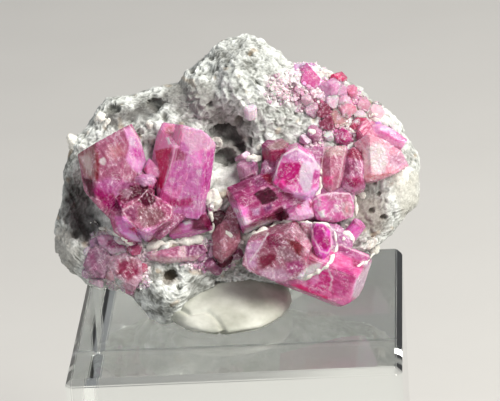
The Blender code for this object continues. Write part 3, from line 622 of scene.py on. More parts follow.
def crystal(tip, axis, length, sides, turn=0.0, cuts=(), tint="c972a4", etch=0.05,
            veil=0.5):
    """One six-sided crystal, as flat faces grown out to given distances.

    tip     middle of its end face (across, up, out)
    axis    the way it points (across, up, out)
    length  from the end face to its root
    sides   distance of each of the six side faces from the axis, in order.  The first
            faces out, or up on a crystal that itself points out
    turn    degrees that the side faces are turned about the axis
    cuts    bevels and broken faces, as pairs of a point and an outward direction
    tint    its own colour, etch the height of its growth steps, and veil how white its
            bubbles and cracks are
    """
    axis = Vector(axis).normalized()
    tip = Vector(tip)
    ahead = Vector((0, 0, 1)) if abs(axis.z) < 0.8 else Vector((0, 1, 0))
    ahead = (ahead - ahead.dot(axis) * axis).normalized()
    aside = axis.cross(ahead)
    planes = [(tip, axis), (tip - axis * length, -axis)]
    for index, distance in enumerate(sides):
        angle = math.radians(turn + 60 * index)
        normal = ahead * math.cos(angle) + aside * math.sin(angle)
        planes.append((tip + normal * distance, normal))
    planes += [(Vector(point), Vector(way).normalized()) for point, way in cuts]
    return {"tip": tip, "axes": (ahead, aside, axis), "planes": planes, "tint": tint,
            "etch": etch, "veil": veil}


def end_on(outline, out, axis, length, dome=(0, 0), cuts=(), **look):
    """A crystal that points to the front, from the outline of its sides.

    outline corners of its sides (across, up), at the distance out, in order
    dome    how far in from the outline, and how far down it, the end is bevelled
    """
    axis = Vector(axis).normalized()
    corners = [Vector((across, up, out)) for across, up in outline]
    middle = sum(corners, Vector()) / len(corners)
    planes = []
    for corner, after in zip(corners, corners[1:] + corners[:1]):
        outward = (after - corner).cross(axis).normalized()
        if outward.dot(corner - middle) < 0:
            outward.negate()
        planes.append((corner, outward))
        if dome[0]:
            planes.append((corner - axis * dome[1], outward * dome[1] + axis * dome[0]))
    return crystal(middle, axis, length, (), cuts=tuple(planes) + tuple(cuts), **look)


def grow(grown, edge=CRYSTAL_EDGE):
    """Cut a crystal from a block by its flat faces, and soften its edges."""
    bm = bmesh.new()
    bmesh.ops.create_cube(bm, size=UNCUT)
    bmesh.ops.translate(bm, verts=bm.verts, vec=as_mesh(grown["tip"]))
    for point, normal in grown["planes"]:
        cut = bmesh.ops.bisect_plane(
            bm, geom=bm.verts[:] + bm.edges[:] + bm.faces[:], dist=1e-6,
            plane_co=as_mesh(point), plane_no=as_mesh(normal), clear_outer=True)
        rim = [item for item in cut["geom_cut"] if isinstance(item, bmesh.types.BMEdge)]
        if len(rim) > 2:
            bmesh.ops.contextual_create(bm, geom=rim)
    bmesh.ops.remove_doubles(bm, verts=bm.verts, dist=0.001)
    bmesh.ops.recalc_face_normals(bm, faces=bm.faces)
    bmesh.ops.bevel(bm, geom=bm.edges, offset=edge, segments=2, affect="EDGES",
                    clamp_overlap=True)
    bmesh.ops.recalc_face_normals(bm, faces=bm.faces)
    return bm


def join_crystals(crystals):
    """The union of a group's crystals, as a bmesh."""
    used = []
    for index, grown in enumerate(crystals):
        used.append(add_object(f"crystal_{index}", mesh_from(grow(grown), f"crystal_{index}")))
        if index:
            step = used[0].modifiers.new("join", "BOOLEAN")
            step.operation = "UNION"
            step.solver = "EXACT"
            step.object = used[-1]
    state = bpy.context.evaluated_depsgraph_get()
    state.update()
    bm = bmesh.new()
    bm.from_mesh(bpy.data.meshes.new_from_object(used[0].evaluated_get(state)))
    for made in used:
        bpy.data.objects.remove(made)
    return bm


def refine(bm):
    """Split long edges, finely on the front and coarsely behind."""
    bmesh.ops.remove_doubles(bm, verts=bm.verts, dist=WELD)
    bmesh.ops.triangulate(bm, faces=bm.faces)
    for _ in range(SPLITS):
        bm.normal_update()
        long_edges = []
        for edge in bm.edges:
            backward = max((face.normal.y for face in edge.link_faces), default=0)
            hidden = backward > BACKWARD
            limit = CRYSTAL_HIDDEN if hidden else CRYSTAL_STEP
            if edge.calc_length() > limit:
                long_edges.append(edge)
        if not long_edges:
            break
        bmesh.ops.subdivide_edges(bm, edges=long_edges, cuts=1)
        bmesh.ops.triangulate(bm, faces=[face for face in bm.faces if len(face.verts) > 3])


def owners(points, crystals):
    """Which crystal's surface each point (across, up, out) lies on."""
    apart = []
    for grown in crystals:
        reach = [(points - np.array(point)) @ np.array(normal)
                 for point, normal in grown["planes"]]
        apart.append(np.abs(np.max(reach, axis=0)))
    return np.argmin(apart, axis=0)


def make_group(name, crystals, zones, lines, nodes):
    """Join, refine, weather and colour a group of crystals as one piece.

    zones and lines are colours laid on the front, by an outline and along a path, some as painted
    shade and highlights
    """
    bm = join_crystals(crystals)
    refine(bm)
    bm.normal_update()
    places = np.array([as_face(vert.co) for vert in bm.verts])
    owner = owners(places, crystals)
    grains = np.zeros(places.shape)
    for index, grown in enumerate(crystals):
        mine = owner == index
        grains[mine] = (places[mine] - np.array(grown["tip"])) @ np.array(grown["axes"]).T
    pushes = []
    for vert, grain, index in zip(bm.verts, grains, owner):
        etch = crystals[index]["etch"]
        steps = noise.noise(Vector(grain * GROWTH_STEPS))
        pits = noise.noise(vert.co * ETCH_PITS[0]) + 0.6 * noise.noise(vert.co * ETCH_PITS[1])
        pushes.append(vert.normal * etch * (0.6 * steps + 0.6 * pits))
    front = np.clip(np.array([-vert.normal.y for vert in bm.verts]) * 3 + 0.6, 0, 1)
    wobble = 0.12 * np.array([(noise.noise(vert.co * 1.7), noise.noise(
        vert.co * 1.7 + Vector((5, 5, 5)))) for vert in bm.verts])
    colours = np.array([linear(crystals[index]["tint"]) for index in owner])
    for code, softness, outline in zones:
        layer(colours, soft_mask(places[:, :2] + wobble, outline, softness) * front, code)
    for code, width, path in lines:
        distance = near_path(places[:, :2] + wobble * 0.5, path)
        layer(colours, np.clip(1.6 - distance / width, 0, 0.85) * front, code)
    for vert, push in zip(bm.verts, pushes):
        vert.co += push
        vert.co = to_world(as_face(vert.co))
    mesh = mesh_from(bm, name)
    mesh.shade_smooth()
    store(mesh, "tint", "FLOAT_COLOR", colours)
    store(mesh, "grain", "FLOAT_VECTOR", grains)
    # dark places, the dark windows of painted shade among them, get little veil, so that little
    # hangs in front of them
    clear = np.clip(colours.sum(axis=1) * 1.5 - 0.25, 0.03, 1)
    store(mesh, "veil", "FLOAT", clear * [crystals[index]["veil"] for index in owner])
    finish_piece(name, mesh, beryl, nodes)


# Red beryl, natural faces: translucent, IOR 1.57.  Its colour lies in clouds and in streaks
# along the length.  White veils, healed cracks and bubbles hang in it, and it glints.  The
# grain attribute is in millimetres, so every scale here is in features to the millimetre.
beryl, tree, output = new_material("red beryl, natural faces")
laid = add_node(tree, "ShaderNodeAttribute", {"attribute_name": "tint"})
grain = add_node(tree, "ShaderNodeAttribute", {"attribute_name": "grain"})
veil = add_node(tree, "ShaderNodeAttribute", {"attribute_name": "veil"})
drawn = add_node(tree, "ShaderNodeMapping", {}, {"Vector": grain.outputs["Vector"],
                                                 "Scale": (2.8, 2.8, 0.5)})
streaks = add_node(tree, "ShaderNodeTexNoise", {}, {"Vector": drawn.outputs["Vector"],
                                                    "Scale": 1.0, "Detail": 3.0})
cloud = add_node(tree, "ShaderNodeTexNoise", {}, {
    "Vector": grain.outputs["Vector"], "Scale": 1.1, "Detail": 6.0, "Roughness": 0.7,
    "Distortion": 0.5})
depth = add_node(tree, "ShaderNodeMix", {"data_type": "FLOAT"}, {
    0: 0.65, 2: streaks.outputs["Fac"], 3: cloud.outputs["Fac"]})
rich = add_node(tree, "ShaderNodeMapRange", {}, {
    "Value": depth.outputs[0], "From Min": 0.38, "From Max": 0.50, "To Min": 0.9,
    "To Max": 0.0})
deep = add_node(tree, "ShaderNodeGamma", {}, {"Color": laid.outputs["Color"], "Gamma": 1.55})
deepened = add_node(tree, "ShaderNodeMix", {"data_type": "RGBA"}, {
    0: rich.outputs["Result"], 6: laid.outputs["Color"], 7: deep.outputs["Color"]})
light = add_node(tree, "ShaderNodeMapRange", {}, {
    "Value": depth.outputs[0], "From Min": 0.51, "From Max": 0.66, "To Min": 0.0,
    "To Max": 1.0})
lightened = add_node(tree, "ShaderNodeMath", {"operation": "MULTIPLY"}, {
    0: light.outputs["Result"], 1: veil.outputs["Fac"]})
clouded = add_node(tree, "ShaderNodeMix", {"data_type": "RGBA"}, {
    0: lightened.outputs[0], 6: deepened.outputs[2], 7: (*linear("f6dcea"), 1)})
# healed cracks: thin bent lines where a noise crosses its middle value
crossing = add_node(tree, "ShaderNodeTexNoise", {}, {
    "Vector": grain.outputs["Vector"], "Scale": 1.0, "Detail": 3.0, "Roughness": 0.6,
    "Distortion": 0.9})
centred = add_node(tree, "ShaderNodeMath", {"operation": "SUBTRACT"}, {
    0: crossing.outputs["Fac"], 1: 0.5})
off_line = add_node(tree, "ShaderNodeMath", {"operation": "ABSOLUTE"}, {
    0: centred.outputs[0]})
cracks = add_node(tree, "ShaderNodeMapRange", {}, {
    "Value": off_line.outputs[0], "From Min": 0.006, "From Max": 0.03, "To Min": 1.0,
    "To Max": 0.0})
bubbles = add_node(tree, "ShaderNodeTexVoronoi", {}, {"Vector": grain.outputs["Vector"],
                                                      "Scale": 3.6})
specks = add_node(tree, "ShaderNodeMapRange", {}, {
    "Value": bubbles.outputs["Distance"], "From Min": 0.12, "From Max": 0.30,
    "To Min": 0.9, "To Max": 0.0})
marks = add_node(tree, "ShaderNodeMath", {"operation": "MAXIMUM"}, {
    0: cracks.outputs["Result"], 1: specks.outputs["Result"]})
patches = add_node(tree, "ShaderNodeTexNoise", {}, {"Vector": grain.outputs["Vector"],
                                                    "Scale": 0.7, "Detail": 4.0})
amount = add_node(tree, "ShaderNodeMapRange", {}, {
    "Value": patches.outputs["Fac"], "From Min": 0.48, "From Max": 0.66})
marked = add_node(tree, "ShaderNodeMath", {"operation": "MULTIPLY"}, {
    0: marks.outputs[0], 1: amount.outputs["Result"]})
share = add_node(tree, "ShaderNodeMath", {"operation": "MULTIPLY"}, {
    0: marked.outputs[0], 1: veil.outputs["Fac"]})
veiled = add_node(tree, "ShaderNodeMix", {"data_type": "RGBA"}, {
    0: share.outputs[0], 6: clouded.outputs[2], 7: (*linear("fbeff5"), 1)})
etched = add_node(tree, "ShaderNodeTexNoise", {}, {"Vector": grain.outputs["Vector"],
                                                   "Scale": 3.0, "Detail": 5.0})
facets = add_node(tree, "ShaderNodeBump", {}, {"Height": etched.outputs["Fac"],
                                               "Strength": 0.5, "Distance": 0.00022})
sheen = add_node(tree, "ShaderNodeMapRange", {}, {
    "Value": cloud.outputs["Fac"], "From Min": 0.3, "From Max": 0.7, "To Min": 0.06,
    "To Max": 0.34})
gloss = add_node(tree, "ShaderNodeMapRange", {}, {
    "Value": veil.outputs["Fac"], "From Min": 0.0, "From Max": 0.5, "To Min": 0.0,
    "To Max": 0.3})
glassy = add_node(tree, "ShaderNodeBsdfPrincipled", {}, {
    "Base Color": veiled.outputs[2], "Roughness": sheen.outputs["Result"], "IOR": 1.57,
    "Transmission Weight": 0.35, "Subsurface Weight": 0.7,
    "Subsurface Radius": (1.0, 0.4, 0.7), "Subsurface Scale": 0.0008,
    "Coat Weight": gloss.outputs["Result"], "Coat Roughness": 0.04,
    "Specular IOR Level": 0.10, "Normal": facets.outputs["Normal"]})
tree.links.new(glassy.outputs["BSDF"], output.inputs["Surface"])

LEFT_CRYSTALS = (
    # blocky crystal
    crystal((-15.3, 4.6, 4.6), (-0.48, 0.87, 0.0), 8.5, (3.2, 4.2, 2.6, 3.0, 5.0, 5.0),
            cuts=(((-16.0, 2.0, 7.8), (-0.82, 0.00, 0.57)),
                  ((-18.1, 2.5, 4.5), (-0.97, -0.22, -0.10)),
                  ((-16.0, -2.8, 4.5), (-0.74, -0.67, 0.00)),
                  ((-12.6, 3.2, 7.8), (0.72, -0.10, 0.69)),
                  ((-12.9, -1.3, 6.5), (0.70, -0.55, 0.45))), tint="b16887", veil=0.6),
    # upright prism, left half, with a bevelled top
    crystal((-7.0, 5.6, 6.9), (0.13, 0.92, 0.36), 10.0, (2.2, 3.1, 2.5, 2.5, 2.5, 3.6),
            cuts=(((-7.0, 3.8, 8.5), (-0.85, 0.03, 0.53)),
                  ((-7.0, 3.85, 8.5), (-0.15, 0.72, 0.68)),
                  ((-9.0, 5.0, 6.0), (-0.91, 0.41, 0.10)),
                  ((-9.4, 1.4, 5.5), (-0.99, -0.13, 0.05))), tint="e78ec2", etch=0.03),
    # upright prism, right half, grown a little further
    crystal((-3.9, 6.6, 7.4), (0.13, 0.92, 0.36), 11.1, (2.25, 2.2, 1.4, 2.5, 2.2, 2.9),
            cuts=(((-4.8, 6.0, 9.5), (0.28, 0.93, -0.15)),
                  ((-3.0, 5.05, 9.2), (0.62, 0.76, -0.10))), tint="d77cbd", etch=0.03,
            veil=0.7),
    # broken crystal in front of the other two
    crystal((-10.1, -3.4, 7.6), (0.00, 0.24, 0.97), 6.0, (1.9, 2.9, 2.4, 2.4, 2.9, 1.9),
            turn=30, tint="b75f86", etch=0.09, veil=0.6),
    # broken mass at the bottom of the hollow between them
    crystal((-11.8, -1.2, 6.4), (0.10, 0.15, 0.98), 5.2, (2.2, 2.6, 2.2, 2.2, 2.4, 2.2),
            tint="7c0b48", etch=0.12),
    # low crystals on either side of the broken one
    end_on(((-15.0, -2.9), (-13.4, -2.3), (-12.2, -4.1), (-11.1, -6.9), (-12.7, -7.2),
            (-14.1, -5.8)), 6.3, (-0.15, 0.10, 0.98), 5.2, dome=(0.4, 0.4),
           tint="b65a87", etch=0.10, veil=0.9),
    end_on(((-8.3, -3.7), (-5.8, -3.4), (-5.6, -4.3), (-7.2, -5.8), (-8.6, -6.9), (-9.4, -6.4)),
           5.9, (0.15, 0.05, 0.98), 5.0, dome=(0.4, 0.4), tint="b1648c", etch=0.08,
           veil=0.7),
    # pale lump at the bottom of the notch between them, and a wedge above it
    end_on(((-11.7, 0.2), (-10.9, 0.8), (-9.6, 0.8), (-8.9, 0.2), (-9.3, -0.8), (-10.8, -0.9)),
           6.6, (0.10, 0.25, 0.96), 3.6, dome=(0.4, 0.4), tint="d95097", etch=0.12),
    end_on(((-10.5, 1.3), (-9.9, 2.7), (-8.7, 1.4), (-8.5, 0.2), (-10.1, 0.2)), 5.9,
           (0.10, 0.25, 0.96), 3.6, tint="d875af", etch=0.03),
)
# Colours, painted shade and glints among them: hex, softness of its edge, and its outline (across,
# up).
LEFT_COLOURS = (
    # blocky crystal, its left face
    ("b3767d", 0.35, ((-18.4, 3.1), (-16.2, 4.3), (-15.7, 2.3), (-15.8, -0.5), (-17.2, 0.4),
        (-18, 2.1))),
    ("e1c7c4", 0.5, ((-17.9, 2.6), (-16.7, 3.1), (-16.4, 2.1), (-16.5, 0.4), (-17.3, 1.4))),
    # dark window: painted shade
    ("5c002c", 0.2, ((-17.7, 0.4), (-16.4, 0), (-15.9, -2.1), (-16.7, -1.8), (-17.4, -0.3))),
    ("8b293a", 0.2, ((-16.1, 3), (-15.6, 3.2), (-15.5, 1.5), (-15.7, -0.4), (-16, 0),
        (-15.9, 1.7))),
    # its front and its right face
    ("cd8a98", 0.8, ((-14.5, 3.8), (-13.2, 4.1), (-12.7, 3.1), (-13.6, 2.3), (-14.7, 2.7))),
    ("df99cc", 0.25, ((-12.7, 5.7), (-12, 6.2), (-9.8, 2.8), (-10.1, 1.7), (-10.9, 0.7),
        (-11.6, 1.1), (-12.6, 2.3), (-12.1, 4.1))),
    ("d14bae", 0.35, ((-11.7, 3.5), (-10.5, 3.4), (-10.8, 2.6), (-11.8, 2.8))),
    ("eeafdf", 0.3, ((-12.3, 2.3), (-11.3, 2.4), (-10.5, 1.9), (-11, 1.1), (-11.8, 1.6))),
    ("e0bfdc", 0.3, ((-12.1, 5.1), (-11.6, 4.9), (-11.5, 3.9), (-12, 3.9))),
    ("ded3d3", 0.2, ((-15.5, 2.4), (-15, 2.6), (-14.7, 2.1), (-15, 1.7), (-15.5, 1.9))),
    # its lower part, deeper in colour
    ("c173a7", 0.6, ((-15.7, -0.1), (-14.6, 0.2), (-13, 0), (-11.8, -0.4), (-12.7, -1.1),
        (-14.9, -1.3), (-16.1, -1))),
    ("a10f6a", 0.5, ((-16.3, -0.6), (-15.2, -1.1), (-13.9, -1.9), (-12.7, -2.9), (-13.1, -3.7),
        (-14.7, -3.4), (-15.6, -2.2), (-16.4, -1.4))),
    ("b14d8f", 0.3, ((-15.3, -0.5), (-14.1, -0.6), (-13.7, -1.4), (-14.4, -1.6), (-15.2, -1.2))),
    ("d28cbf", 0.15, ((-13.9, -1.5), (-13.5, -1.1), (-13.3, -1.7), (-13.7, -1.9))),
    ("a47b8d", 0.25, ((-13, -1.2), (-11.8, -1), (-11.9, -1.9), (-12.7, -2))),
    # dark window at the bottom of the hollow: painted shade
    ("5c002c", 0.2, ((-12.2, -0.7), (-9.9, -0.6), (-10.3, -1.6), (-11.3, -2.2), (-12.2, -2.3),
        (-11.7, -1.2))),
    # top of the upright prism, with a painted glint
    ("fd99c8", 0.25, ((-8.3, 5.7), (-8, 6.4), (-5.9, 6.5), (-5.8, 4.8), (-6.7, 3.6), (-9.2, 3.5),
        (-9.4, 4.1))),
    ("cc7d93", 0.4, ((-8.1, 6.1), (-7.1, 6.3), (-7.2, 5.1), (-8, 5.2))),
    ("fdfdfd", 0.15, ((-8, 4.8), (-7.6, 5), (-7.3, 4.2), (-7.6, 4))),
    # its left half; cb0956 is painted shade on its side turned from the light
    ("cb0956", 0.2, ((-9.3, 3.4), (-7.1, 3.7), (-7.5, 2), (-8, 0.4), (-8.4, -1.1), (-9, -1),
        (-8.7, 0.9), (-9.1, 2.5))),
    ("ae5275", 0.2, ((-7.5, 3), (-7.1, 3.4), (-7.4, 1.1), (-8, -0.6), (-8.2, -0.5), (-7.6, 1.3))),
    ("a8406f", 0.3, ((-6.8, 3.5), (-6.3, 3.6), (-5.5, 2.8), (-5.8, 2.2), (-7, 2.1))),
    # its right half
    ("d265b0", 0.6, ((-7.1, 1.9), (-6.3, 2.2), (-5.5, 1.4), (-5.7, -0.5), (-7.2, -1.2),
        (-7.9, -0.6))),
    ("f2bedd", 0.4, ((-5.9, 6.4), (-3.6, 5.6), (-2.2, 4.5), (-2.3, 3.2), (-5, 3.2), (-5.9, 4.5))),
    ("fd9ddd", 0.5, ((-5.1, 3.2), (-3.7, 3.3), (-3.6, 1.7), (-4.8, 1.4))),
    ("d859b0", 0.3, ((-3.5, 3), (-2.1, 3.9), (-2.4, 0.4), (-2.8, -1.2), (-3.1, -3.5),
        (-3.9, -3.2), (-3.7, 0))),
    ("bf3398", 0.2, ((-3.4, 1.2), (-3.1, 1.4), (-3.2, -1.1), (-3.5, -1.4))),
    # its foot
    ("b71573", 0.5, ((-7.8, -1.9), (-6.3, -2.3), (-4.9, -1.9), (-4.7, -2.9), (-6.3, -3.2),
        (-7.5, -2.9))),
    ("d1549b", 0.3, ((-9, -1), (-8.1, -1.1), (-7.4, -2.2), (-7.9, -2.7), (-8.8, -1.9))),
    ("d48fbe", 0.4, ((-4.8, -2.4), (-2.9, -1.9), (-3.2, -3.8), (-4.7, -3.6))),
    # lump and wedge in the notch
    ("cc94bc", 0.25, ((-11.5, 0.3), (-10.3, 0.8), (-9, 0.4), (-9.2, -0.5), (-10.7, -0.7),
        (-11.5, -0.2))),
    ("b6216f", 0.2, ((-10.6, 1.2), (-10.2, 1.7), (-10.1, 0.8))),
    # broken crystal in front, with a dark window at its top in painted shade
    ("996370", 0.6, ((-11.3, -3.1), (-9.7, -2.9), (-8.2, -3.5), (-8, -4.4), (-9.2, -5.3),
        (-10.5, -5.5), (-11.2, -4.6))),
    ("5c002c", 0.2, ((-11.2, -2.4), (-10, -1.1), (-9, -2.3), (-9.4, -2.9), (-10.3, -3))),
    # low crystal at its lower left
    ("96416d", 0.4, ((-12.8, -3.5), (-11.6, -2.8), (-11.2, -3.5), (-11.3, -4.7), (-12.1, -4.6))),
    ("fd9de2", 0.3, ((-13.8, -4.2), (-12.7, -4.2), (-11.1, -5.8), (-8.6, -5.3), (-9.8, -6.7),
        (-10.6, -7.3), (-12.1, -6.8), (-13.4, -5.9))),
    ("e3145f", 0.2, ((-12.2, -5.6), (-11.3, -5.4), (-11.5, -6))),
    ("fdd3fd", 0.3, ((-12.7, -6.1), (-10.6, -6.4), (-9.8, -6.7), (-10.6, -7.3), (-11.9, -6.9))),
)
# Pale edges, partly painted highlights, and healed cracks: hex, half width, and where they run
# (across, up).
LEFT_EDGES_AND_HIGHLIGHTS = (
    # rim of the broken crystal
    ("dcb2c2", 0.06, ((-12.9, -3.5), (-12.1, -3), (-11.3, -2.5), (-10, -1.1))),
    ("dcb2c2", 0.06, ((-7.9, -2.8), (-7, -3.3), (-7.5, -4.3), (-8.6, -5.3), (-10.1, -5.9),
        (-11.1, -5.7), (-12.1, -4.7), (-12.9, -3.6))),
    # edges of the upright prism
    ("e6b9cc", 0.06, ((-6.2, 6.1), (-7.2, 2.2), (-8.1, -0.6))),
    ("dcaec4", 0.05, ((-5.8, 6.1), (-6.5, 3.9), (-7.1, 1.4))),
    ("f2d9e6", 0.06, ((-3.6, 5.6), (-2.2, 4.5), (-2.1, 3), (-2.4, 0.4), (-3.1, -2.9))),
    # edge of the blocky one
    ("f0d2dc", 0.06, ((-12.1, 6.3), (-11, 4.4), (-9.9, 2.8))),
)
make_group("left_cluster_crystals", LEFT_CRYSTALS, LEFT_COLOURS, LEFT_EDGES_AND_HIGHLIGHTS,
           ["left_cluster"])

# =============================================== the crystals below the left cluster
# A short purple crystal that points to the right, a thin blade that lies in the clay under
# it, and three small red beryl crystals, half sunk in the rock, at the lower left.

PURPLE_AND_BLADE = (
    ("purple_crystal_piece", "purple_crystal", (
        crystal((-3.0, -4.6, 4.6), (0.88, 0.27, 0.38), 4.9, (1.2, 1.1, 1.1, 1.1, 1.1, 1.1),
                tint="df7bbf"),)),
    ("crystal_blade_piece", "crystal_blade", (
        end_on(((-10.3, -8.5), (-7.5, -7.6), (-3.7, -7.3), (-3.1, -8.1), (-4.6, -9.2),
                (-8.1, -9.4), (-9.8, -9.0)), 4.2, (0.05, 0.25, 0.96), 2.8, dome=(0.3, 0.4),
               tint="dcb7c0", etch=0.1),)),
)
MIDDLE_COLOURS = (
    # purple crystal, with a white glint
    ("c56e95", 0.4, ((-8.8, -5), (-6.7, -4.8), (-6.2, -6.1), (-8.7, -6.5))),
    ("770c44", 0.4, ((-4.8, -4.1), (-3.3, -3.8), (-2.5, -5.2), (-3.1, -5.9), (-5.2, -5.7))),
    ("fdfdfd", 0.2, ((-6.3, -4.6), (-5.2, -4.4), (-5.1, -5.1), (-5.8, -5.2))),
    # blade
    ("bb7395", 0.4, ((-9.2, -7.8), (-6.3, -7.4), (-6.6, -8.9), (-8.9, -9))),
    ("97547e", 0.4, ((-5.9, -7.5), (-3.3, -7.3), (-3.2, -8.6), (-5.6, -8.8))),
)
for piece_name, node_name, crystals in PURPLE_AND_BLADE:
    make_group(piece_name, crystals, MIDDLE_COLOURS, (), [node_name])

LOWER_LEFT_CRYSTALS = (
    end_on(((-17.7, -9.9), (-17.2, -8.4), (-16.3, -7.4), (-14.6, -7.9), (-14.2, -9.6),
            (-15.4, -11.4), (-16.8, -11.2)), 3.6, (-0.15, 0.10, 0.98), 3.2, dome=(0.5, 0.4),
           tint="a57c93", etch=0.12),
    end_on(((-14.8, -9.0), (-13.5, -8.1), (-11.9, -8.2), (-10.6, -9.5), (-10.7, -11.6),
            (-11.7, -12.9), (-13.4, -12.2), (-14.8, -10.5)), 4.0, (0.10, 0.05, 0.99), 3.6,
           dome=(0.7, 0.6), tint="c59eae", etch=0.14, veil=0.9),
    end_on(((-16.0, -6.3), (-14.7, -6.1), (-12.8, -7.2), (-12.5, -8.4), (-14.5, -8.5),
            (-15.8, -7.3)), 3.8, (0.05, 0.25, 0.96), 3.2, dome=(0.4, 0.4), tint="dcb6cd",
           etch=0.12),
)
LOWER_LEFT_COLOURS = (
    ("9e6083", 0.3, ((-17, -8.8), (-16.4, -8.3), (-15.8, -10.4), (-16.5, -10.9))),
    ("9d375d", 0.5, ((-13.5, -9.5), (-11.7, -9), (-11, -10.7), (-12.4, -11.6), (-13.7, -10.9))),
    ("a9b3ac", 0.5, ((-14.7, -11), (-12.8, -11.6), (-13.3, -12.5), (-14.9, -12))),
    ("b14f85", 0.3, ((-15.1, -7), (-13.5, -6.7), (-12.8, -7.8), (-14.7, -7.9))),
    ("dbacc8", 0.3, ((-15.8, -6.5), (-14.4, -6.3), (-14.9, -7.4), (-16.1, -7.4))),
)
make_group("lower_left_crystals_piece", LOWER_LEFT_CRYSTALS, LOWER_LEFT_COLOURS, (),
           ["lower_left_crystals"])

# ======================================================== the faded crystals
# Three dull red beryl crystals between the large groups, browner and less clear than
# those.  They grew together in a hollow of the rock, and clay half covers them.

FADED_CRYSTALS = (
    end_on(((-3.1, -3.8), (-2.4, -3.2), (-1.3, -3.5), (-0.9, -4.5), (-1.8, -5.4), (-2.9, -4.9)),
           4.6, (0.10, 0.20, 0.97), 3.4, dome=(0.3, 0.3), tint="562031", etch=0.08),
    end_on(((-2.6, -6.0), (-1.5, -4.1), (-0.5, -2.5), (0.3, -3.9), (0.7, -6.7), (0.1, -8.1),
            (-1.5, -9.4), (-2.5, -8.6)), 5.0, (0.05, 0.20, 0.98), 4.2, dome=(0.4, 0.4),
           tint="ab677a", etch=0.1, veil=0.8),
    crystal((-2.1, -9.0, 3.4), (-0.60, -0.30, 0.70), 4.0, (1.1, 1.2, 1.2, 1.1, 1.2, 1.2),
            tint="641634", etch=0.1),
)
make_group("faded_crystals_piece", FADED_CRYSTALS, (), (), ["faded_cluster"])

# ================================================== the upper group at the right
# Red beryl crystals that grew into each other from a low mass: a large one that points to
# the left, a bright magenta one in front, darker and paler ones round it, and a large pale
# one at the right.

UPPER_RIGHT_CRYSTALS = (
    # large crystal at the left of the group
    crystal((0.0, -3.6, 5.2), (-0.91, -0.36, 0.20), 8.0, (2.5, 2.6, 2.6, 2.6, 2.6, 2.5),
            turn=-12, tint="ad3f7b", veil=0.8),
    # bright one in the middle
    end_on(((4.4, -0.4), (5.0, 1.9), (5.9, 3.2), (7.4, 3.8), (9.0, 2.8), (9.8, 1.0), (9.7, -1.1),
            (8.5, -2.1), (5.8, -1.5)), 7.7, (0.06, -0.14, 0.98), 7.0, dome=(0.8, 0.7),
           tint="e67ebf", etch=0.04, veil=0.9),
    # dark red one with a pale top
    crystal((4.6, 4.2, 4.6), (-0.05, 0.88, 0.46), 4.5, (1.6, 1.4, 1.4, 1.5, 1.4, 1.4),
            tint="964672"),
    # mauve one beside it
    crystal((1.3, 2.0, 4.2), (-0.20, 0.88, 0.42), 4.0, (1.1, 1.1, 1.1, 1.1, 1.1, 1.1),
            tint="c288aa"),
    # flat one under the bright one
    end_on(((5.2, -2.3), (6.0, -1.5), (8.3, -1.4), (9.0, -2.7), (9.1, -4.2), (7.5, -4.7),
            (5.5, -4.5)), 5.8, (0.02, 0.10, 0.99), 5.0, dome=(0.4, 0.3),
           tint="fdc3e6", etch=0.06),
    # rounded one with white specks
    end_on(((8.7, -3.0), (9.4, -1.8), (11.0, -1.4), (13.3, -1.5), (13.8, -3.0), (13.6, -4.3),
            (11.4, -5.0), (9.5, -4.6)), 6.0, (0.10, -0.05, 0.99), 5.0, dome=(0.6, 0.5),
           tint="d676ae", etch=0.07, veil=1.0),
    # two upright ones right of the bright one
    end_on(((9.9, 2.3), (10.5, 3.5), (11.5, 4.1), (12.9, 4.0), (12.8, 1.9), (12.1, -0.7),
            (10.9, -1.4), (10.0, -0.5)), 5.9, (0.00, 0.20, 0.98), 5.0, dome=(0.6, 0.6),
           tint="c67d99", etch=0.04),
    end_on(((12.8, 3.5), (13.7, 4.0), (14.5, 3.2), (15.2, 1.0), (15.0, -0.8), (13.5, -1.4),
            (12.3, -0.7), (12.2, 1.6)), 6.0, (0.03, 0.20, 0.98), 5.0, dome=(0.6, 0.7),
           cuts=(((13.6, 2.6, 6.0), (0.10, 0.55, 0.83)),), tint="cb7da8", etch=0.05, veil=0.8),
    # large pale one at the right
    end_on(((14.0, 4.5), (15.3, 5.3), (17.0, 4.8), (19.3, 3.4), (20.2, 1.8), (18.8, 0.9),
            (16.8, 0.1), (15.1, -0.2), (14.4, 2.0)), 6.2, (0.12, 0.10, 0.98), 6.0,
           dome=(0.3, 0.3), cuts=(((17.3, 2.5, 6.2), (0.42, 0.12, 0.90)),
                                  ((15.4, 2.5, 6.2), (-0.70, 0.05, 0.70))),
           tint="e8a6ba", etch=0.05, veil=0.8),
    # two pink ones on its upper edge
    end_on(((15.6, 6.5), (17.0, 6.7), (18.7, 5.8), (20.0, 4.7), (19.4, 3.8), (17.7, 4.2),
            (16.0, 5.2)), 4.4, (0.20, 0.30, 0.93), 3.6, dome=(0.4, 0.4), tint="f4b5db",
           etch=0.04),
    crystal((15.5, 5.8, 4.2), (0.20, 0.45, 0.87), 4.0, (1.2, 1.2, 1.2, 1.2, 1.2, 1.2),
            tint="d27096"),
    # low mass that the smaller ones grew out of
    end_on(((2.7, -0.2), (3.1, 2.0), (4.3, 3.2), (7.5, 3.7), (12.7, 4.0), (14.2, 1.7),
            (13.8, -1.8), (13.6, -4.0), (11.0, -4.7), (7.5, -4.7), (3.8, -5.2), (2.3, -4.0)),
           5.1, (0.00, 0.05, 1.00), 4.6, dome=(0.5, 0.4), tint="be77a3", etch=0.12, veil=1.0),
)
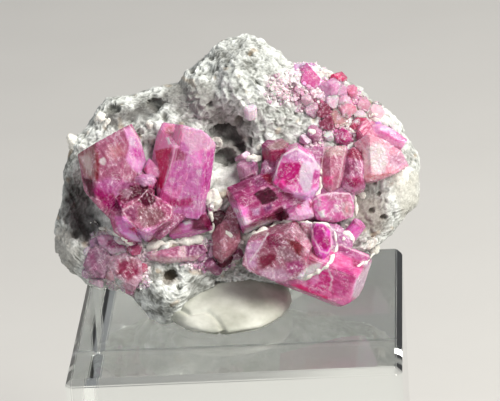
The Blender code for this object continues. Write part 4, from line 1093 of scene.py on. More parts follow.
UPPER_RIGHT_COLOURS = (
    # large crystal at the left: its upper edge
    ("8c3865", 0.5, ((-0.9, -1.2), (0, -0.2), (2.5, 1), (2.1, -0.4), (-0.3, -1.9))),
    ("954275", 0.4, ((2, 0), (3.4, 0.9), (3.8, -0.3), (2.4, -1.1))),
    ("94093e", 0.25, ((3, 0.4), (3.8, 0.9), (4.4, 0.1), (4.4, -0.7), (3.7, -0.3))),
    # its left end
    ("fd92d8", 0.5, ((-0.7, -2.5), (1.5, -3.2), (1.6, -5.3), (0.3, -5.8), (-0.2, -4.3))),
    # two dark windows in painted shade, and the deep colour round them
    ("500028", 0.15, ((2.1, -1.6), (3.8, -0.8), (4.6, -1.4), (5, -2.2), (3.2, -2.9),
        (2.6, -2.2))),
    ("5c002c", 0.2, ((4.3, -3.7), (5.3, -3.1), (6.2, -3.3), (6.2, -4.4), (5.5, -4.9),
        (4.8, -4.5))),
    ("99084d", 0.3, ((3.4, -4.3), (4.4, -3.8), (4.9, -4.7), (3.8, -4.8))),
    ("7b2e68", 0.2, ((3.2, -3.2), (4.3, -2.6), (4.2, -3.3), (3.5, -3.8))),
    # glints and pale patches
    ("be93b7", 0.3, ((1.9, -3.3), (2.9, -3.2), (2.8, -4), (2.1, -4.1))),
    ("fbd2e9", 0.25, ((0.1, -4.5), (1.1, -4.2), (2.1, -4.8), (0.9, -5.3), (0.2, -5.1))),
    ("fdf7fd", 0.2, ((-0.2, -3.2), (0.4, -3.4), (0.2, -3.9), (-0.2, -3.7))),
    ("fdfdfd", 0.35, ((1.2, -5.8), (3.7, -4.7), (5.5, -4.9), (5, -5.3), (2.1, -6.2),
        (0.7, -6.5))),
    # bright one in the middle
    ("cc92bf", 0.4, ((5.3, 2.8), (7, 3.6), (8.8, 2.6), (9.6, 1.9), (8, 2), (6.5, 2.2))),
    ("c1137d", 0.25, ((5.4, 1.9), (6.5, 2), (7.8, 2), (7.3, 0.3), (7.1, -0.4), (5.9, -0.7),
        (4.7, -0.3), (5.2, 1))),
    ("f54bb0", 0.3, ((4.6, 0), (5.6, 0.1), (5.9, -0.7), (5.4, -1.1), (4.4, -0.4))),
    ("d1358c", 0.3, ((4.9, 1.5), (5.4, 1.9), (5.2, 0.6), (4.7, 0))),
    ("e4cee1", 0.25, ((7.8, 2.1), (9.6, 2), (9.8, 1.2), (8.9, 0), (8.6, -1.6), (7.9, -1.5),
        (7.2, 0.1), (7.4, 0.8))),
    ("c363a2", 0.2, ((9.1, 1.2), (9.7, 1), (9.7, 0), (9.2, -0.5), (8.9, 0.2))),
    ("fdbdf5", 0.4, ((6.5, -1.4), (8, -1.6), (9.6, -0.7), (9.4, -1.8), (8.4, -2.4), (7, -2))),
    # dark red one with a pale top
    ("a22058", 0.3, ((3, 3.3), (5.5, 3.6), (6, 3.4), (5.2, 2.3), (4.3, 2.1), (3.1, 2.4))),
    ("a67f85", 0.3, ((3.5, 3.6), (4.7, 4.6), (5.9, 4.7), (6.2, 3.7), (4.4, 3.4))),
    # mauve one
    ("9b6188", 0.3, ((1.4, 2.2), (2.4, 1.9), (2.6, 1.3), (1.8, 1.1))),
    # flat one
    ("f448a4", 0.2, ((7.1, -2.8), (7.6, -2.8), (7.6, -3.3), (7.2, -3.3))),
    ("c35f9f", 0.5, ((5.5, -2.6), (7, -2.5), (7.2, -4), (6, -3.9))),
    # rounded one with white specks
    ("e880c1", 0.4, ((8.5, -2.5), (9.8, -1.8), (10.7, -2.6), (10.7, -4.4), (9.3, -4.4))),
    ("a50f62", 0.2, ((8.5, -2.6), (9.1, -2.5), (9.1, -3.3), (8.6, -3.2))),
    ("d6b3c8", 0.2, ((9.4, -2.2), (9.9, -2.1), (9.9, -3.1), (9.5, -3.1))),
    ("fdfdfd", 0.2, ((9.5, -3.6), (10.3, -3.5), (10.4, -4.4), (9.8, -4.4))),
    ("ddb0c9", 0.2, ((11.3, -2.8), (11.9, -2.9), (11.9, -3.8), (11.3, -3.7))),
    ("d4a9b7", 0.2, ((12.1, -2.6), (12.9, -2.4), (13.6, -2.8), (13.4, -4.1), (12.6, -4.3),
        (12.2, -3.5))),
    ("e39aac", 0.2, ((12.7, -3), (13, -2.9), (13, -3.7), (12.7, -3.7))),
    ("c0819c", 0.4, ((10.4, -1.8), (12.4, -1.5), (13.3, -1.7), (13.1, -2.3), (10.8, -2.4))),
    # first of the upright ones
    ("cfa8ab", 0.4, ((10.4, 3.8), (12.8, 4), (12.4, 2.8), (10.4, 2.6))),
    ("fa60a8", 0.3, ((10.1, 0.4), (11.3, 0.4), (11.1, -0.7), (10.4, -0.9))),
    ("90203e", 0.2, ((9.8, 2.7), (10.3, 2.5), (10.2, 1.7), (9.8, 1.8))),
    # second of them
    ("940b47", 0.35, ((12.7, 3), (13.6, 3.9), (14.7, 3.2), (14.9, 2.2), (13.6, 2.4),
        (12.9, 2.5))),
    ("a4507a", 0.4, ((12.5, 1.9), (14, 2.3), (14.4, 0.6), (12.6, 0.5))),
    ("af216b", 0.4, ((12.4, 0.2), (14.2, 0.4), (15, -0.3), (13.4, -1))),
    # large pale one at the right
    ("fdcfd6", 0.3, ((14.7, 3.8), (15.3, 3.3), (15.4, 0.3), (15, 0))),
    ("e5d7d9", 0.4, ((15.2, 3.7), (16.2, 4.4), (17.4, 3.8), (17.5, 1.9), (17.3, 0.9), (16.1, 0.7),
        (15.4, 1.9))),
    ("df9aa2", 0.3, ((15, 0.6), (17.2, 0.8), (18.4, 0.9), (16.8, 0.2), (15.1, -0.1))),
    ("d2a0b8", 0.5, ((17.7, 2.9), (19.4, 3.3), (20, 2), (18.8, 1.3), (17.7, 1.9))),
    # pink one on its upper edge
    ("da55a7", 0.4, ((16.7, 5.7), (18.8, 5.6), (19.9, 4.8), (19.1, 4.3), (17.5, 5))),
)
# Pale lines on the edges, partly painted highlights, in the same terms.
UPPER_RIGHT_EDGES_AND_HIGHLIGHTS = (
    # edges of the bright one
    ("f0e4ea", 0.08, ((5.4, 2.8), (4.9, 1.5), (4.4, 0))),
    ("f4eaf0", 0.09, ((5.4, 2.8), (7, 3.6), (8.8, 2.6), (9.8, 1.3))),
    # edges of the upright ones
    ("e2c6cc", 0.07, ((12.7, 3.6), (12.3, 1.6), (11.8, -0.8))),
    ("e6c8ce", 0.06, ((10.4, 3.8), (10, 1.9), (10.1, -0.4))),
    # upper edge of the rounded one
    ("f0dbe4", 0.07, ((8.8, -2.5), (9.8, -1.8), (11.2, -1.5), (13.3, -1.6), (13.7, -2.8))),
    # edges of the large crystal at the left
    ("e8b6ce", 0.06, ((-0.9, -1.2), (-0.4, -3.7), (0.7, -6.2))),
    ("e9bccf", 0.05, ((0, -0.2), (2.5, 1))),
)
make_group("upper_right_crystals", UPPER_RIGHT_CRYSTALS, UPPER_RIGHT_COLOURS,
           UPPER_RIGHT_EDGES_AND_HIGHLIGHTS, ["upper_right_cluster"])

# =================================================== the lower group at the right
# Red beryl crystals grown together under a seam of white clay: a large one seen on its
# broken end, an oval one with a white rim, and a large clear one that points to the lower
# right.

LOWER_RIGHT_CRYSTALS = (
    # low mass between the other three
    end_on(((7.5, -4.9), (11.9, -5.1), (13.6, -6.9), (13.4, -9.3), (10.2, -10.3), (7.5, -9.8)),
           6.2, (0.00, 0.00, 1.00), 5.6, dome=(0.5, 0.5), tint="c88cb5", etch=0.12, veil=1.0),
    # large speckled one, seen on its end
    crystal((4.5, -9.0, 8.2), (-0.18, -0.26, 0.95), 7.5, (2.7, 3.5, 3.3, 3.0, 3.7, 3.6),
            turn=15, cuts=(((3.6, -11.6, 8.2), (-0.33, -0.94, -0.32)),), tint="b46d86",
            etch=0.08, veil=1.0),
    # oval one with a white rim
    end_on(((8.8, -5.8), (9.3, -5.0), (10.2, -5.0), (10.9, -5.7), (11.3, -7.3), (10.9, -8.5),
            (10.1, -9.3), (9.3, -8.6), (8.8, -7.3)), 7.6, (0.05, -0.05, 0.99), 6.5,
           dome=(0.45, 0.5), tint="e659c5", etch=0.03),
    # large one that points to the lower right
    crystal((14.5, -11.8, 4.8), (0.92, -0.36, 0.18), 9.5, (3.1, 3.5, 3.1, 3.1, 3.1, 3.1),
            turn=22, cuts=(((13.0, -14.2, 5.0), (0.45, -0.89, 0.0)),), tint="ec81b8",
            etch=0.04),
)
LOWER_RIGHT_COLOURS = (
    # large speckled one
    ("d39dc3", 0.5, ((1.1, -7.5), (2.5, -6.9), (3.3, -7.2), (2.4, -8.6), (2.5, -10.1),
        (1.4, -10.1))),
    ("8c1450", 0.45, ((3.4, -6.5), (4.4, -6), (5.4, -6.8), (5.2, -7.9), (3.8, -7.9))),
    ("860b3e", 0.4, ((2.7, -8.8), (4, -8.4), (5, -8.7), (4.2, -10), (3.1, -10.2))),
    ("b54c89", 0.4, ((5.9, -9.5), (7.5, -9.1), (7.9, -10.2), (6.5, -11), (5.8, -10.5))),
    ("a77788", 0.4, ((5.1, -7.7), (6.5, -7.9), (7.5, -9.1), (5.9, -9.4), (5, -8.7))),
    ("8c1a32", 0.3, ((5.6, -6.7), (7.2, -7), (7.8, -7.8), (7.3, -8.8), (6.5, -7.8))),
    ("cda1bb", 0.5, ((2.5, -10.4), (5.4, -10), (6.5, -11.1), (5.7, -11.8), (3.1, -11.3))),
    # pale wedge above it, and its right side
    ("b88495", 0.3, ((5.4, -5.8), (6.5, -5.1), (8.6, -5), (8.8, -6.4), (7.9, -7), (6.5, -6.5))),
    ("d99bb0", 0.3, ((7.7, -6.9), (8.8, -6.5), (9.1, -8.7), (9.8, -9.6), (8.3, -9.9), (7.8, -9))),
    ("c05882", 0.3, ((7.7, -8.7), (8.5, -8.5), (9.3, -9.3), (8.5, -9.7))),
    # white film at its lower right
    ("f1e9ec", 0.3, ((7.7, -10.4), (8.8, -9.7), (10.1, -9.4), (9.7, -10.2), (8, -11.6),
        (7, -11.4))),
    # oval one
    ("b72e88", 0.3, ((8.7, -5.4), (9.8, -5.1), (10.6, -5.5), (10.2, -6.6), (9.1, -6.5))),
    ("b5147c", 0.3, ((9.2, -6.6), (10.8, -6.4), (11, -7.7), (10.2, -8.1), (9.4, -7.3))),
    # large one: its upper face and its front
    ("bb5f96", 0.35, ((11.3, -8.1), (12, -7.4), (16.1, -9), (15.4, -9.6), (13.4, -9))),
    ("bc4b80", 0.35, ((13.4, -9), (15.4, -9.5), (14.9, -10.2), (13.6, -10))),
    ("d34d97", 0.35, ((11.1, -10), (13.5, -10.1), (13.8, -11.4), (12.7, -13.3), (11.1, -13.3),
        (11.2, -11.3))),
    ("d6228c", 0.35, ((8.5, -11.3), (10.6, -10), (11.1, -10.8), (11, -12.6), (9.8, -13.1),
        (8.2, -12.5))),
    # its pale patches
    ("ef92c9", 0.3, ((8.5, -11.4), (9.5, -10.8), (9.8, -11.7), (8.8, -12.2))),
    ("fdd6ed", 0.3, ((13.8, -11.4), (15.3, -10), (16.1, -9.1), (15.2, -11.9), (14.1, -13.8),
        (13.4, -13.3))),
    ("fdd0fb", 0.15, ((14.8, -9.6), (15.4, -9.4), (15.3, -9.9), (14.9, -10))),
    # its lower edge
    ("e91d85", 0.3, ((6.5, -12.1), (7.5, -12), (9.8, -13.2), (11.1, -13.5), (10.6, -13.8),
        (8, -12.9))),
)
# Healed cracks, a white rim, and pale edges that are partly painted highlights, in the same terms.
LOWER_RIGHT_CRACKS_AND_EDGE_HIGHLIGHTS = (
    # crack across the speckled one
    ("f2e6ec", 0.07, ((3.8, -6.1), (2.8, -7.8), (1.7, -9.4))),
    # crack across the large one
    ("ecd6e0", 0.08, ((10.6, -10), (11.1, -11.3), (10.9, -12.7))),
    # rim of the oval one
    ("f0d2e0", 0.08, ((8.8, -5.3), (8.9, -6.6), (9.8, -8.2), (10.6, -8.4), (11.1, -7.7),
        (11, -5.8), (10.2, -5))),
    # edges of the large one
    ("f4dbe4", 0.06, ((11.2, -8.2), (12, -7.4), (16.1, -9.1), (15.2, -12), (14.1, -13.8))),
    # left edge of the speckled one
    ("f1d6e2", 0.06, ((1.1, -8.1), (1.4, -10.1), (3.1, -11.4))),
)
make_group("lower_right_crystals", LOWER_RIGHT_CRYSTALS, LOWER_RIGHT_COLOURS,
           LOWER_RIGHT_CRACKS_AND_EDGE_HIGHLIGHTS, ["lower_right_cluster"])

# ========================================================== two small crystals
# A small slanting prism of red beryl in the white clay at the right, and a pale pink one
# that stands alone high on the upper lobe, rooted in the rock.

SMALL_PRISM = (
    crystal((14.5, -4.9, 3.6), (0.60, 0.76, 0.25), 3.4, (0.8, 0.8, 0.75, 0.8, 0.75, 0.8),
            tint="f582d4", etch=0.02),
)
PRISM_COLOURS = (
    ("d384b4", 0.25, ((13.8, -4.5), (15.6, -5.4), (15, -5.9), (13.5, -4.9))),
)
make_group("small_prism_piece", SMALL_PRISM, PRISM_COLOURS, (), ["small_prism"])
LONE_CRYSTAL = (
    crystal((1.7, 8.5, 5.4), (-0.10, 0.82, 0.56), 1.6, (0.7, 0.7, 0.7, 0.7, 0.7, 0.7),
            tint="f2dfe8", etch=0.02),
)
make_group("lone_crystal_piece", LONE_CRYSTAL, (), (), ["lone_crystal"])

# ====================================================================== the crust
# A sugary crust of small red beryl crystals grown over each other on the upper right
# shoulder, and broken ones round the groups at the left.  Grains of half a millimetre and
# less fill between them.

# Larger ones: middle (across, up), half width in millimetres, and colour, two of them dark as
# painted shadow.
CRUST_LARGE = (
    (7.6, 12.8, 0.95, "e6b4dc"), (8.9, 11.5, 1.10, "e070b0"), (10.3, 12.2, 0.50, "f0ebe8"),
    (11.6, 11.6, 0.80, "d84878"), (13.5, 10.5, 0.70, "e08aa8"), (10.6, 10.1, 1.10, "dda0c6"),
    # the ones at (10.4, 8.0) and (10.6, 6.5) are dark crimson as painted shadow in the crust's
    # hollow
    (12.1, 10.2, 0.90, "e6b0cc"), (11.3, 9.1, 0.85, "e8c0d2"), (10.4, 8.0, 0.80, "96405f"),
    (10.6, 6.5, 0.80, "a0486a"), (11.9, 7.5, 1.10, "e4b0b0"), (14.5, 6.1, 1.10, "cc4a74"),
    (13.2, 8.0, 0.90, "e29cb2"), (16.4, 8.0, 0.90, "ecc4ce"), (15.0, 8.6, 0.70, "e9b4c6"),
    (12.2, 5.1, 0.80, "c84a90"), (10.7, 5.3, 0.45, "fbf6f6"), (16.4, 6.2, 0.60, "dfa2e0"),
    (8.8, 8.4, 0.80, "c8a0b4"), (8.1, 9.5, 0.60, "d8b8c4"), (9.3, 5.6, 0.85, "b87c9c"),
    (8.2, 4.8, 0.60, "c8a0ba"), (12.8, 9.1, 0.65, "e8b0c8"), (14.3, 7.6, 0.60, "f0d8de"),
    (1.3, 2.8, 0.60, "e8b8d4"), (2.2, 2.5, 0.40, "e4c0d6"),
)
# Broken ones at the lower left and below the blade, in the same terms.
CRUST_FRAGMENTS = (
    (-16.2, -7.3, 0.60, "b490ac"), (-14.7, -9.5, 0.75, "c898ae"), (-13.9, -11.0, 0.70, "d2a4b2"),
    (-13.5, -9.0, 0.60, "e2ccd4"), (-12.3, -12.7, 0.60, "c890a4"), (-11.4, -8.1, 0.65, "c05c84"),
    (-10.6, -10.2, 0.60, "cc6c88"), (-15.6, -12.0, 0.50, "c8b0bc"), (-9.8, -8.7, 0.50, "d4a0b6"),
    (-4.0, -8.7, 0.65, "b07898"), (-3.1, -9.5, 0.60, "a8688c"), (-2.4, -8.1, 0.55, "c898b0"),
    (-17.2, -10.9, 0.60, "b894ac"), (-16.8, -8.2, 0.50, "d8c4d0"), (-12.2, -7.0, 0.60, "b05886"),
    (-13.6, -6.6, 0.50, "e8dce2"), (-0.6, -7.2, 0.60, "a87888"), (0.4, -8.6, 0.60, "7c3a5c"),
)
CRUST_STAND = (0.5, 1.0)         # least and most that one stands out of the rock
CRUST_ROOT = 1.6                 # how far it is sunk in
CRUST_EDGE = 0.05                # rounding of its edges
CRUST_VEIL = 0.9
CRUST_SEED = 11

dice = random.Random(CRUST_SEED)
crust_bm = bmesh.new()
crust_tints, crust_grains = [], []
for across, up, half, code in CRUST_LARGE + CRUST_FRAGMENTS:
    out = rock_front(across, up)
    out += ROCK_WORN * lumpiness(across, up, out) + dice.uniform(*CRUST_STAND)
    lean = (dice.uniform(-0.7, 0.7), dice.uniform(-0.4, 0.8), 1.0)
    sides = [half * dice.uniform(0.8, 1.15) for _ in range(6)]
    chip = Vector((dice.uniform(-0.7, 0.7), dice.uniform(-0.7, 0.7), 0.9)).normalized()
    top = Vector((across, up, out))
    other_chip = Vector((-chip.x, dice.uniform(-0.6, 0.6), 0.8)).normalized()
    grown = crystal(top, lean, half + CRUST_ROOT, sides, turn=dice.uniform(0, 60),
                    cuts=((top + chip * half * 0.35, chip),
                          (top + other_chip * half * 0.45, other_chip)))
    start = len(crust_bm.verts)
    small = mesh_from(grow(grown, CRUST_EDGE), "crust_crystal")
    crust_bm.from_mesh(small)
    bpy.data.meshes.remove(small)
    crust_bm.verts.ensure_lookup_table()
    for vert in crust_bm.verts[start:]:
        crust_tints.append(linear(code))
        local = as_face(vert.co) - grown["tip"]
        # shifted, so that no two crystals have the same clouds
        crust_grains.append([local.dot(axis) + 9 * across for axis in grown["axes"]])
for vert in crust_bm.verts:
    vert.co = to_world(as_face(vert.co))
crust_mesh = mesh_from(crust_bm, "crust_crystals")
store(crust_mesh, "tint", "FLOAT_COLOR", crust_tints)
store(crust_mesh, "grain", "FLOAT_VECTOR", crust_grains)
store(crust_mesh, "veil", "FLOAT", np.full(len(crust_tints), CRUST_VEIL))
finish_piece("crust_crystals", crust_mesh, beryl)


def new_tree(name, inputs):
    """A geometry node tree with named inputs, and its input and output nodes."""
    tree = bpy.data.node_groups.new(name, "GeometryNodeTree")
    tree.interface.new_socket("Geometry", in_out="INPUT", socket_type="NodeSocketGeometry")
    tree.interface.new_socket("Geometry", in_out="OUTPUT", socket_type="NodeSocketGeometry")
    for label, kind in inputs.items():
        tree.interface.new_socket(label, in_out="INPUT", socket_type=kind)
    return tree, add_node(tree, "NodeGroupInput"), add_node(tree, "NodeGroupOutput")


def run_tree(tree, mesh, values):
    """The plain mesh that a tree makes from a mesh, with its named inputs set."""
    carrier = add_object("carrier", mesh)
    nodes = carrier.modifiers.new("nodes", "NODES")
    nodes.node_group = tree
    for item in tree.interface.items_tree:
        if item.in_out == "INPUT" and item.name in values:
            nodes[item.identifier] = values[item.name]
    state = bpy.context.evaluated_depsgraph_get()
    state.update()
    made = bpy.data.meshes.new_from_object(carrier.evaluated_get(state))
    bpy.data.objects.remove(carrier)
    return made


# Small crystals or grains scattered over the rock where one of its attributes says so.
# They are at least a spacing apart, face outwards with a random lean, and take their
# colour from another of its attributes, made lighter or darker by a random factor.
SCATTER_LEAN = (0.7, 0.7, 3.1)                       # most that one is turned each way
SCATTER_SIZES = ((0.5, 0.5, 0.6), (1.25, 1.1, 1.3))  # least and most, as shares of the width
SCATTER_DENSITY = 3e7                                # more to the square metre than can fit
scatter, given, result = new_tree("scatter", {
    "Mask": "NodeSocketString", "Colours": "NodeSocketString",
    "Spacing": "NodeSocketFloat", "Width": "NodeSocketFloat", "Sides": "NodeSocketInt",
    "Darkest": "NodeSocketFloat", "Lightest": "NodeSocketFloat", "Seed": "NodeSocketInt",
    "Material": "NodeSocketMaterial"})
mask = add_node(scatter, "GeometryNodeInputNamedAttribute", {"data_type": "FLOAT"},
                {"Name": given.outputs["Mask"]})
spots = add_node(scatter, "GeometryNodeDistributePointsOnFaces",
                 {"distribute_method": "POISSON"}, {
    "Mesh": given.outputs["Geometry"], "Distance Min": given.outputs["Spacing"],
    "Density Max": SCATTER_DENSITY, "Density Factor": mask.outputs["Attribute"],
    "Seed": given.outputs["Seed"]})
lean = add_node(scatter, "FunctionNodeRandomValue", {"data_type": "FLOAT_VECTOR"}, {
    0: [-turn for turn in SCATTER_LEAN], 1: SCATTER_LEAN, "Seed": given.outputs["Seed"]})
leaning = add_node(scatter, "FunctionNodeEulerToRotation", {}, {0: lean.outputs[0]})
turned = add_node(scatter, "FunctionNodeRotateRotation", {"rotation_space": "LOCAL"}, {
    "Rotation": spots.outputs["Rotation"], "Rotate By": leaning.outputs[0]})
growth = add_node(scatter, "FunctionNodeRandomValue", {"data_type": "FLOAT_VECTOR"}, {
    0: SCATTER_SIZES[0], 1: SCATTER_SIZES[1], "Seed": given.outputs["Seed"]})
sized = add_node(scatter, "ShaderNodeVectorMath", {"operation": "SCALE"}, {
    "Vector": growth.outputs[0], "Scale": given.outputs["Width"]})
prism = add_node(scatter, "GeometryNodeMeshCylinder", {"fill_type": "NGON"}, {
    "Vertices": given.outputs["Sides"], "Side Segments": 1, "Radius": 0.5, "Depth": 1.0})
stood = add_node(scatter, "GeometryNodeInstanceOnPoints", {}, {
    "Points": spots.outputs["Points"], "Instance": prism.outputs["Mesh"],
    "Rotation": turned.outputs[0], "Scale": sized.outputs[0]})
shade = add_node(scatter, "FunctionNodeRandomValue", {"data_type": "FLOAT"}, {
    2: given.outputs["Darkest"], 3: given.outputs["Lightest"],
    "Seed": given.outputs["Seed"]})
laid = add_node(scatter, "GeometryNodeInputNamedAttribute", {"data_type": "FLOAT_COLOR"},
                {"Name": given.outputs["Colours"]})
shaded = add_node(scatter, "ShaderNodeVectorMath", {"operation": "SCALE"}, {
    "Vector": laid.outputs["Attribute"], "Scale": shade.outputs[1]})
coloured = add_node(scatter, "GeometryNodeStoreNamedAttribute",
                    {"data_type": "FLOAT_COLOR", "domain": "INSTANCE"}, {
    "Geometry": stood.outputs["Instances"], "Name": "tint", "Value": shaded.outputs[0]})
real = add_node(scatter, "GeometryNodeRealizeInstances", {},
                {"Geometry": coloured.outputs["Geometry"]})
spot = add_node(scatter, "GeometryNodeInputPosition")
in_mm = add_node(scatter, "ShaderNodeVectorMath", {"operation": "SCALE"}, {
    "Vector": spot.outputs["Position"], "Scale": PER_MM})
grained = add_node(scatter, "GeometryNodeStoreNamedAttribute",
                   {"data_type": "FLOAT_VECTOR", "domain": "POINT"}, {
    "Geometry": real.outputs["Geometry"], "Name": "grain", "Value": in_mm.outputs[0]})
finished = add_node(scatter, "GeometryNodeSetMaterial", {}, {
    "Geometry": grained.outputs["Geometry"], "Material": given.outputs["Material"]})
scatter.links.new(finished.outputs["Geometry"], result.inputs["Geometry"])

for piece_name, material, slot_name, values in (
        ("crust_small_crystals", beryl, "red_beryl", {
            "Spacing": 0.30 * MM, "Width": 0.58 * MM, "Sides": 6, "Darkest": 1.0,
            "Lightest": 2.4, "Seed": 3, "Colours": "crust_tint"}),
        ("crust_white_grains", rhyolite, "rhyolite", {
            "Spacing": 0.26 * MM, "Width": 0.46 * MM, "Sides": 5, "Darkest": 1.0,
            "Lightest": 1.35, "Seed": 8, "Colours": "tint"})):
    made = run_tree(scatter, rock_mesh, {"Mask": "crust", "Material": material, **values})
    finish_piece(piece_name, made, material)

# ================================================================ the white clay
# White clay fills the seams between the crystals and lies on the rock in small lumps.  It
# dried in place: matt, rounded and finely cracked.

# Seams: half width in millimetres, and where each one runs (across, up).
CLAY_SEAMS = (
    (0.28, ((0.8, -6.9), (2.3, -6.2), (4.0, -5.5))),
    (0.30, ((3.8, -5.6), (5.8, -4.6), (7.5, -4.9), (9.1, -5.0))),
    (0.16, ((8.9, -5.0), (10.5, -5.1), (11.4, -5.9), (11.7, -7.4), (11.3, -8.9))),
    (0.20, ((11.3, -8.6), (10.9, -9.6), (10.1, -10.2), (8.9, -10.9), (7.6, -11.6))),
    (0.22, ((9.9, 0.4), (9.9, -0.9), (9.3, -2.0))),
    (0.24, ((13.7, -1.7), (14.0, -3.0), (14.0, -4.4))),
    (0.45, ((-10.2, -7.8), (-8.7, -7.3), (-7.0, -7.3), (-5.2, -7.1), (-3.4, -6.7))),
    (0.26, ((-3.2, -3.0), (-2.8, -3.9), (-2.5, -5.2), (-3.0, -6.3))),
    (0.20, ((-15.8, -5.6), (-14.6, -5.8), (-13.0, -6.6), (-11.6, -7.6))),
    (0.14, ((14.0, -10.0), (15.4, -9.2), (16.4, -8.4))),
)
# Lumps: middle (across, up) and half width in millimetres.
CLAY_LUMPS = (
    (-18.7, 4.3, 0.95), (-19.0, 3.9, 0.7), (-15.6, 6.9, 0.8), (-14.9, 6.3, 0.7),
    (-9.8, 6.4, 0.6), (-2.1, 4.4, 0.55), (-1.7, 4.0, 0.5), (-2.5, -2.3, 0.85),
    (-2.3, -3.1, 0.7), (12.6, -5.6, 0.7), (13.0, -6.6, 0.8), (12.4, -7.3, 0.7),
    (15.4, -7.2, 0.8), (16.2, -7.9, 0.8), (18.6, 0.2, 1.2), (17.6, -0.4, 0.8),
    (19.8, 0.9, 0.8), (9.9, 0.9, 0.5), (9.9, -0.4, 0.5), (-9.4, -7.9, 0.7),
    (-7.6, -7.6, 0.7), (-4.3, -7.0, 0.7), (-3.3, -6.5, 0.7), (-0.8, -6.4, 0.5),
    (10.4, 12.2, 0.8), (16.3, 7.2, 0.8), (17.3, 6.7, 0.8), (8.9, 5.4, 0.45),
    (2.1, 2.4, 0.6), (2.7, 3.4, 0.5), (-16.6, -5.2, 0.5), (14.6, -1.9, 0.5),
)
CLAY_WHITE = "e6e4da"
CLAY_SINK = 0.45                 # share of its half width that lies in what carries it
CLAY_HEIGHT = 0.9                # how strongly its surface is roughened, in millimetres
CLAY_LUMP_SIZES = ((0.7, 0.30, 0.6), (1.6, 0.6, 1.2))   # least and most, in half widths
CLAY_LUMP_TURN = (0.3, 3.1, 0.3)                        # most that one is turned each way


def clay_surface():
    """The front of all that is made so far, to lay clay on."""
    corners, faces = [], []
    for piece in bpy.context.scene.objects:
        if piece.type == "MESH" and piece.name.endswith(("crystals", "piece", "rock")):
            start = len(corners)
            corners += [vert.co.copy() for vert in piece.data.vertices]
            faces += [[start + index for index in face.vertices]
                      for face in piece.data.polygons]
    return BVHTree.FromPolygons(corners, faces)


def point_mesh(name, places, sizes, steps=()):
    """Points, and steps that join them, with a size for each."""
    mesh = bpy.data.meshes.new(name)
    mesh.from_pydata(places, steps, [])
    store(mesh, "size", "FLOAT", sizes)
    return mesh


surface = clay_surface()
INWARDS = FACE.to_3x3() @ Vector((0, 1, 0))
IN_FRONT = 20                    # the rays that find the surface start this far out
SEAM_STEP = 0.25                 # spacing of the points along a seam
SEAM_THIN = 0.45                 # share of its width at its ends
SEAM_FULL = 1.1                  # and along it, before it is made uneven


def on_surface(across, up, sink):
    """The place on the front at (across, up), sunk by a length in millimetres."""
    start = to_world(Vector((across, up, IN_FRONT)))
    hit = surface.ray_cast(start, INWARDS)[0]
    return (hit or start + INWARDS * IN_FRONT * MM) + INWARDS * sink * MM


places, sizes, steps = [], [], []
for half_width, path in CLAY_SEAMS:
    stretch = []
    for (x0, y0), (x1, y1) in zip(path, path[1:]):
        count = max(2, round(math.hypot(x1 - x0, y1 - y0) / SEAM_STEP))
        stretch += [on_surface(x0 + (x1 - x0) * step / count, y0 + (y1 - y0) * step / count,
                               half_width * CLAY_SINK) for step in range(count)]
    depths = [place.dot(INWARDS) for place in stretch]
    for index, place in enumerate(stretch):
        near = depths[max(0, index - 2):index + 3]
        smooth = place + INWARDS * (sum(near) / len(near) - depths[index])
        if index:
            steps.append((len(places) - 1, len(places)))
        places.append(smooth)
        thin = SEAM_THIN if index in (0, len(stretch) - 1) else 1.0
        uneven = 0.9 + 0.9 * noise.noise(smooth / MM * 1.1)
        sizes.append(SEAM_FULL * half_width * thin * max(0.3, uneven) * MM)
seam_mesh = point_mesh("seams", places, sizes, steps)
lump_mesh = point_mesh("lumps", [on_surface(across, up, half * CLAY_SINK)
                                 for across, up, half in CLAY_LUMPS],
                       [half * MM for _, _, half in CLAY_LUMPS])

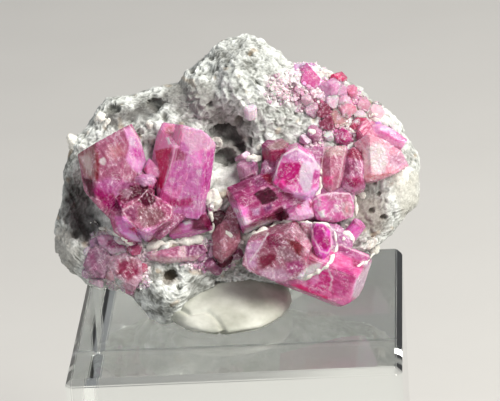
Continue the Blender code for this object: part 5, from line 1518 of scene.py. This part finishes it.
# A seam is a tube along its points, and a lump is a squashed ball at each of them.  Both are
# roughened along their normals by a noise of about 0.8 mm.
for piece_name, source in (("clay_seams", seam_mesh), ("clay_lumps", lump_mesh)):
    clay, given, result = new_tree(piece_name, {
        "Lump": "NodeSocketFloat", "Height": "NodeSocketFloat",
        "Material": "NodeSocketMaterial"})
    width = add_node(clay, "GeometryNodeInputNamedAttribute", {"data_type": "FLOAT"},
                     {"Name": "size"})
    if source is seam_mesh:
        run = add_node(clay, "GeometryNodeMeshToCurve", {},
                       {"Mesh": given.outputs["Geometry"]})
        ring = add_node(clay, "GeometryNodeCurvePrimitiveCircle", {},
                        {"Resolution": 12, "Radius": 1.0})
        body = add_node(clay, "GeometryNodeCurveToMesh", {}, {
            "Curve": run.outputs["Curve"], "Profile Curve": ring.outputs["Curve"],
            "Scale": width.outputs["Attribute"], "Fill Caps": True})
    else:
        ball = add_node(clay, "GeometryNodeMeshIcoSphere", {},
                        {"Radius": 1.0, "Subdivisions": 4})
        uneven = add_node(clay, "FunctionNodeRandomValue", {"data_type": "FLOAT_VECTOR"}, {
            0: CLAY_LUMP_SIZES[0], 1: CLAY_LUMP_SIZES[1], "Seed": 4})
        stretched = add_node(clay, "ShaderNodeVectorMath", {"operation": "SCALE"}, {
            "Vector": uneven.outputs[0], "Scale": width.outputs["Attribute"]})
        turned = add_node(clay, "FunctionNodeRandomValue", {"data_type": "FLOAT_VECTOR"}, {
            0: [-turn for turn in CLAY_LUMP_TURN], 1: CLAY_LUMP_TURN, "Seed": 5})
        stood = add_node(clay, "GeometryNodeInstanceOnPoints", {}, {
            "Points": given.outputs["Geometry"], "Instance": ball.outputs["Mesh"],
            "Rotation": turned.outputs[0], "Scale": stretched.outputs[0]})
        body = add_node(clay, "GeometryNodeRealizeInstances", {},
                        {"Geometry": stood.outputs["Instances"]})
    roughness = add_node(clay, "ShaderNodeTexNoise", {}, {
        "Scale": given.outputs["Lump"], "Detail": 5.0, "Roughness": 0.55})
    centred = add_node(clay, "ShaderNodeMath", {"operation": "SUBTRACT"},
                       {0: roughness.outputs["Fac"], 1: 0.5})
    raised = add_node(clay, "ShaderNodeMath", {"operation": "MULTIPLY"},
                      {0: centred.outputs[0], 1: given.outputs["Height"]})
    outwards = add_node(clay, "GeometryNodeInputNormal")
    push = add_node(clay, "ShaderNodeVectorMath", {"operation": "SCALE"}, {
        "Vector": outwards.outputs["Normal"], "Scale": raised.outputs[0]})
    rough_body = add_node(clay, "GeometryNodeSetPosition", {}, {
        "Geometry": body.outputs[0], "Offset": push.outputs[0]})
    whole = add_node(clay, "GeometryNodeRealizeInstances", {},
                     {"Geometry": rough_body.outputs["Geometry"]})
    finished = add_node(clay, "GeometryNodeSetMaterial", {}, {
        "Geometry": whole.outputs["Geometry"], "Material": given.outputs["Material"]})
    clay.links.new(finished.outputs["Geometry"], result.inputs["Geometry"])
    made = run_tree(clay, source, {"Lump": 1.3 * PER_MM, "Height": CLAY_HEIGHT * MM,
                                   "Material": rhyolite})
    made.shade_smooth()
    store(made, "tint", "FLOAT_COLOR", np.tile(linear(CLAY_WHITE), (len(made.vertices), 1)))
    finish_piece(piece_name, made, rhyolite)

# ================================================================ floor and light
# A plain pale table top, one large soft lamp from the upper right and a weak one from the
# left, and a camera that looks straight at the specimen's face from a little above.

FLOOR_SIDE = 4.0                 # metres
FLOOR_GAP = 0.00005              # film of air under the block, in metres
bm = bmesh.new()
bmesh.ops.create_grid(bm, x_segments=1, y_segments=1, size=FLOOR_SIDE)
bmesh.ops.translate(bm, verts=bm.verts, vec=(0, 0, -FLOOR_GAP))
floor_mesh = mesh_from(bm, "table_top")

# Board with matt paint on it: pale grey, and a trace uneven in patches of 25 mm.
table, tree, output = new_material("matt painted board")
place = add_node(tree, "ShaderNodeTexCoord").outputs["Object"]
paint = add_node(tree, "ShaderNodeTexNoise", {}, {"Vector": place,
                                                  "Scale": 0.04 * PER_MM, "Detail": 4.0})
board = add_node(tree, "ShaderNodeValToRGB", {}, {"Fac": paint.outputs["Fac"]})
board.color_ramp.elements[0].color = (*linear("c9c7c3"), 1)
board.color_ramp.elements[1].color = (*linear("cfcdc9"), 1)
flat_paint = add_node(tree, "ShaderNodeBsdfPrincipled", {}, {
    "Base Color": board.outputs["Color"], "Roughness": 0.8})
tree.links.new(flat_paint.outputs["BSDF"], output.inputs["Surface"])
floor = add_object("table_top", floor_mesh)
floor_mesh.materials.append(table)

LOOK_AT = Vector((0.0003, 0.0033, 0.0533))   # the middle of the specimen


def soft_lamp(name, place, size, power, colour):
    """A square soft box that faces the specimen."""
    data = bpy.data.lights.new(name, "AREA")
    data.shape = "SQUARE"
    data.size = size
    data.energy = power
    data.color = linear(colour)
    lamp = add_object(name, data)
    lamp.location = place
    lamp.rotation_euler = (LOOK_AT - Vector(place)).to_track_quat("-Z", "Y").to_euler()


soft_lamp("key_lamp", (0.36, -0.24, 0.48), 0.32, 6.5, "fffdf8")
soft_lamp("fill_lamp", (-0.50, -0.45, 0.25), 0.50, 1.2, "f4f7ff")
world = bpy.data.worlds.new("studio")
world.use_nodes = True
world.node_tree.nodes["Background"].inputs["Color"].default_value = (*linear("f2f3f5"), 1)
world.node_tree.nodes["Background"].inputs["Strength"].default_value = 0.30
bpy.context.scene.world = world
bpy.context.scene.view_settings.view_transform = "Standard"

# The camera's place, and the directions of its right and its up.
CAMERA_PLACE = Vector((0.026459, -0.394159, 0.197561))
CAMERA_RIGHT = Vector((0.99737, 0.03921, -0.06095))
CAMERA_UP = Vector((0.04350, 0.34866, 0.93624))
CAMERA_LENS = 261.35             # millimetres, on a sensor 36 mm wide
camera_data = bpy.data.cameras.new("camera")
camera_data.sensor_width = 36.0
camera_data.lens = CAMERA_LENS
camera_data.clip_start = 0.01
camera_data.clip_end = 20.0
camera = add_object("camera", camera_data)
axes = Matrix((CAMERA_RIGHT, CAMERA_UP, CAMERA_RIGHT.cross(CAMERA_UP))).transposed()
camera.matrix_world = Matrix.Translation(CAMERA_PLACE) @ axes.to_4x4()
bpy.context.scene.camera = camera
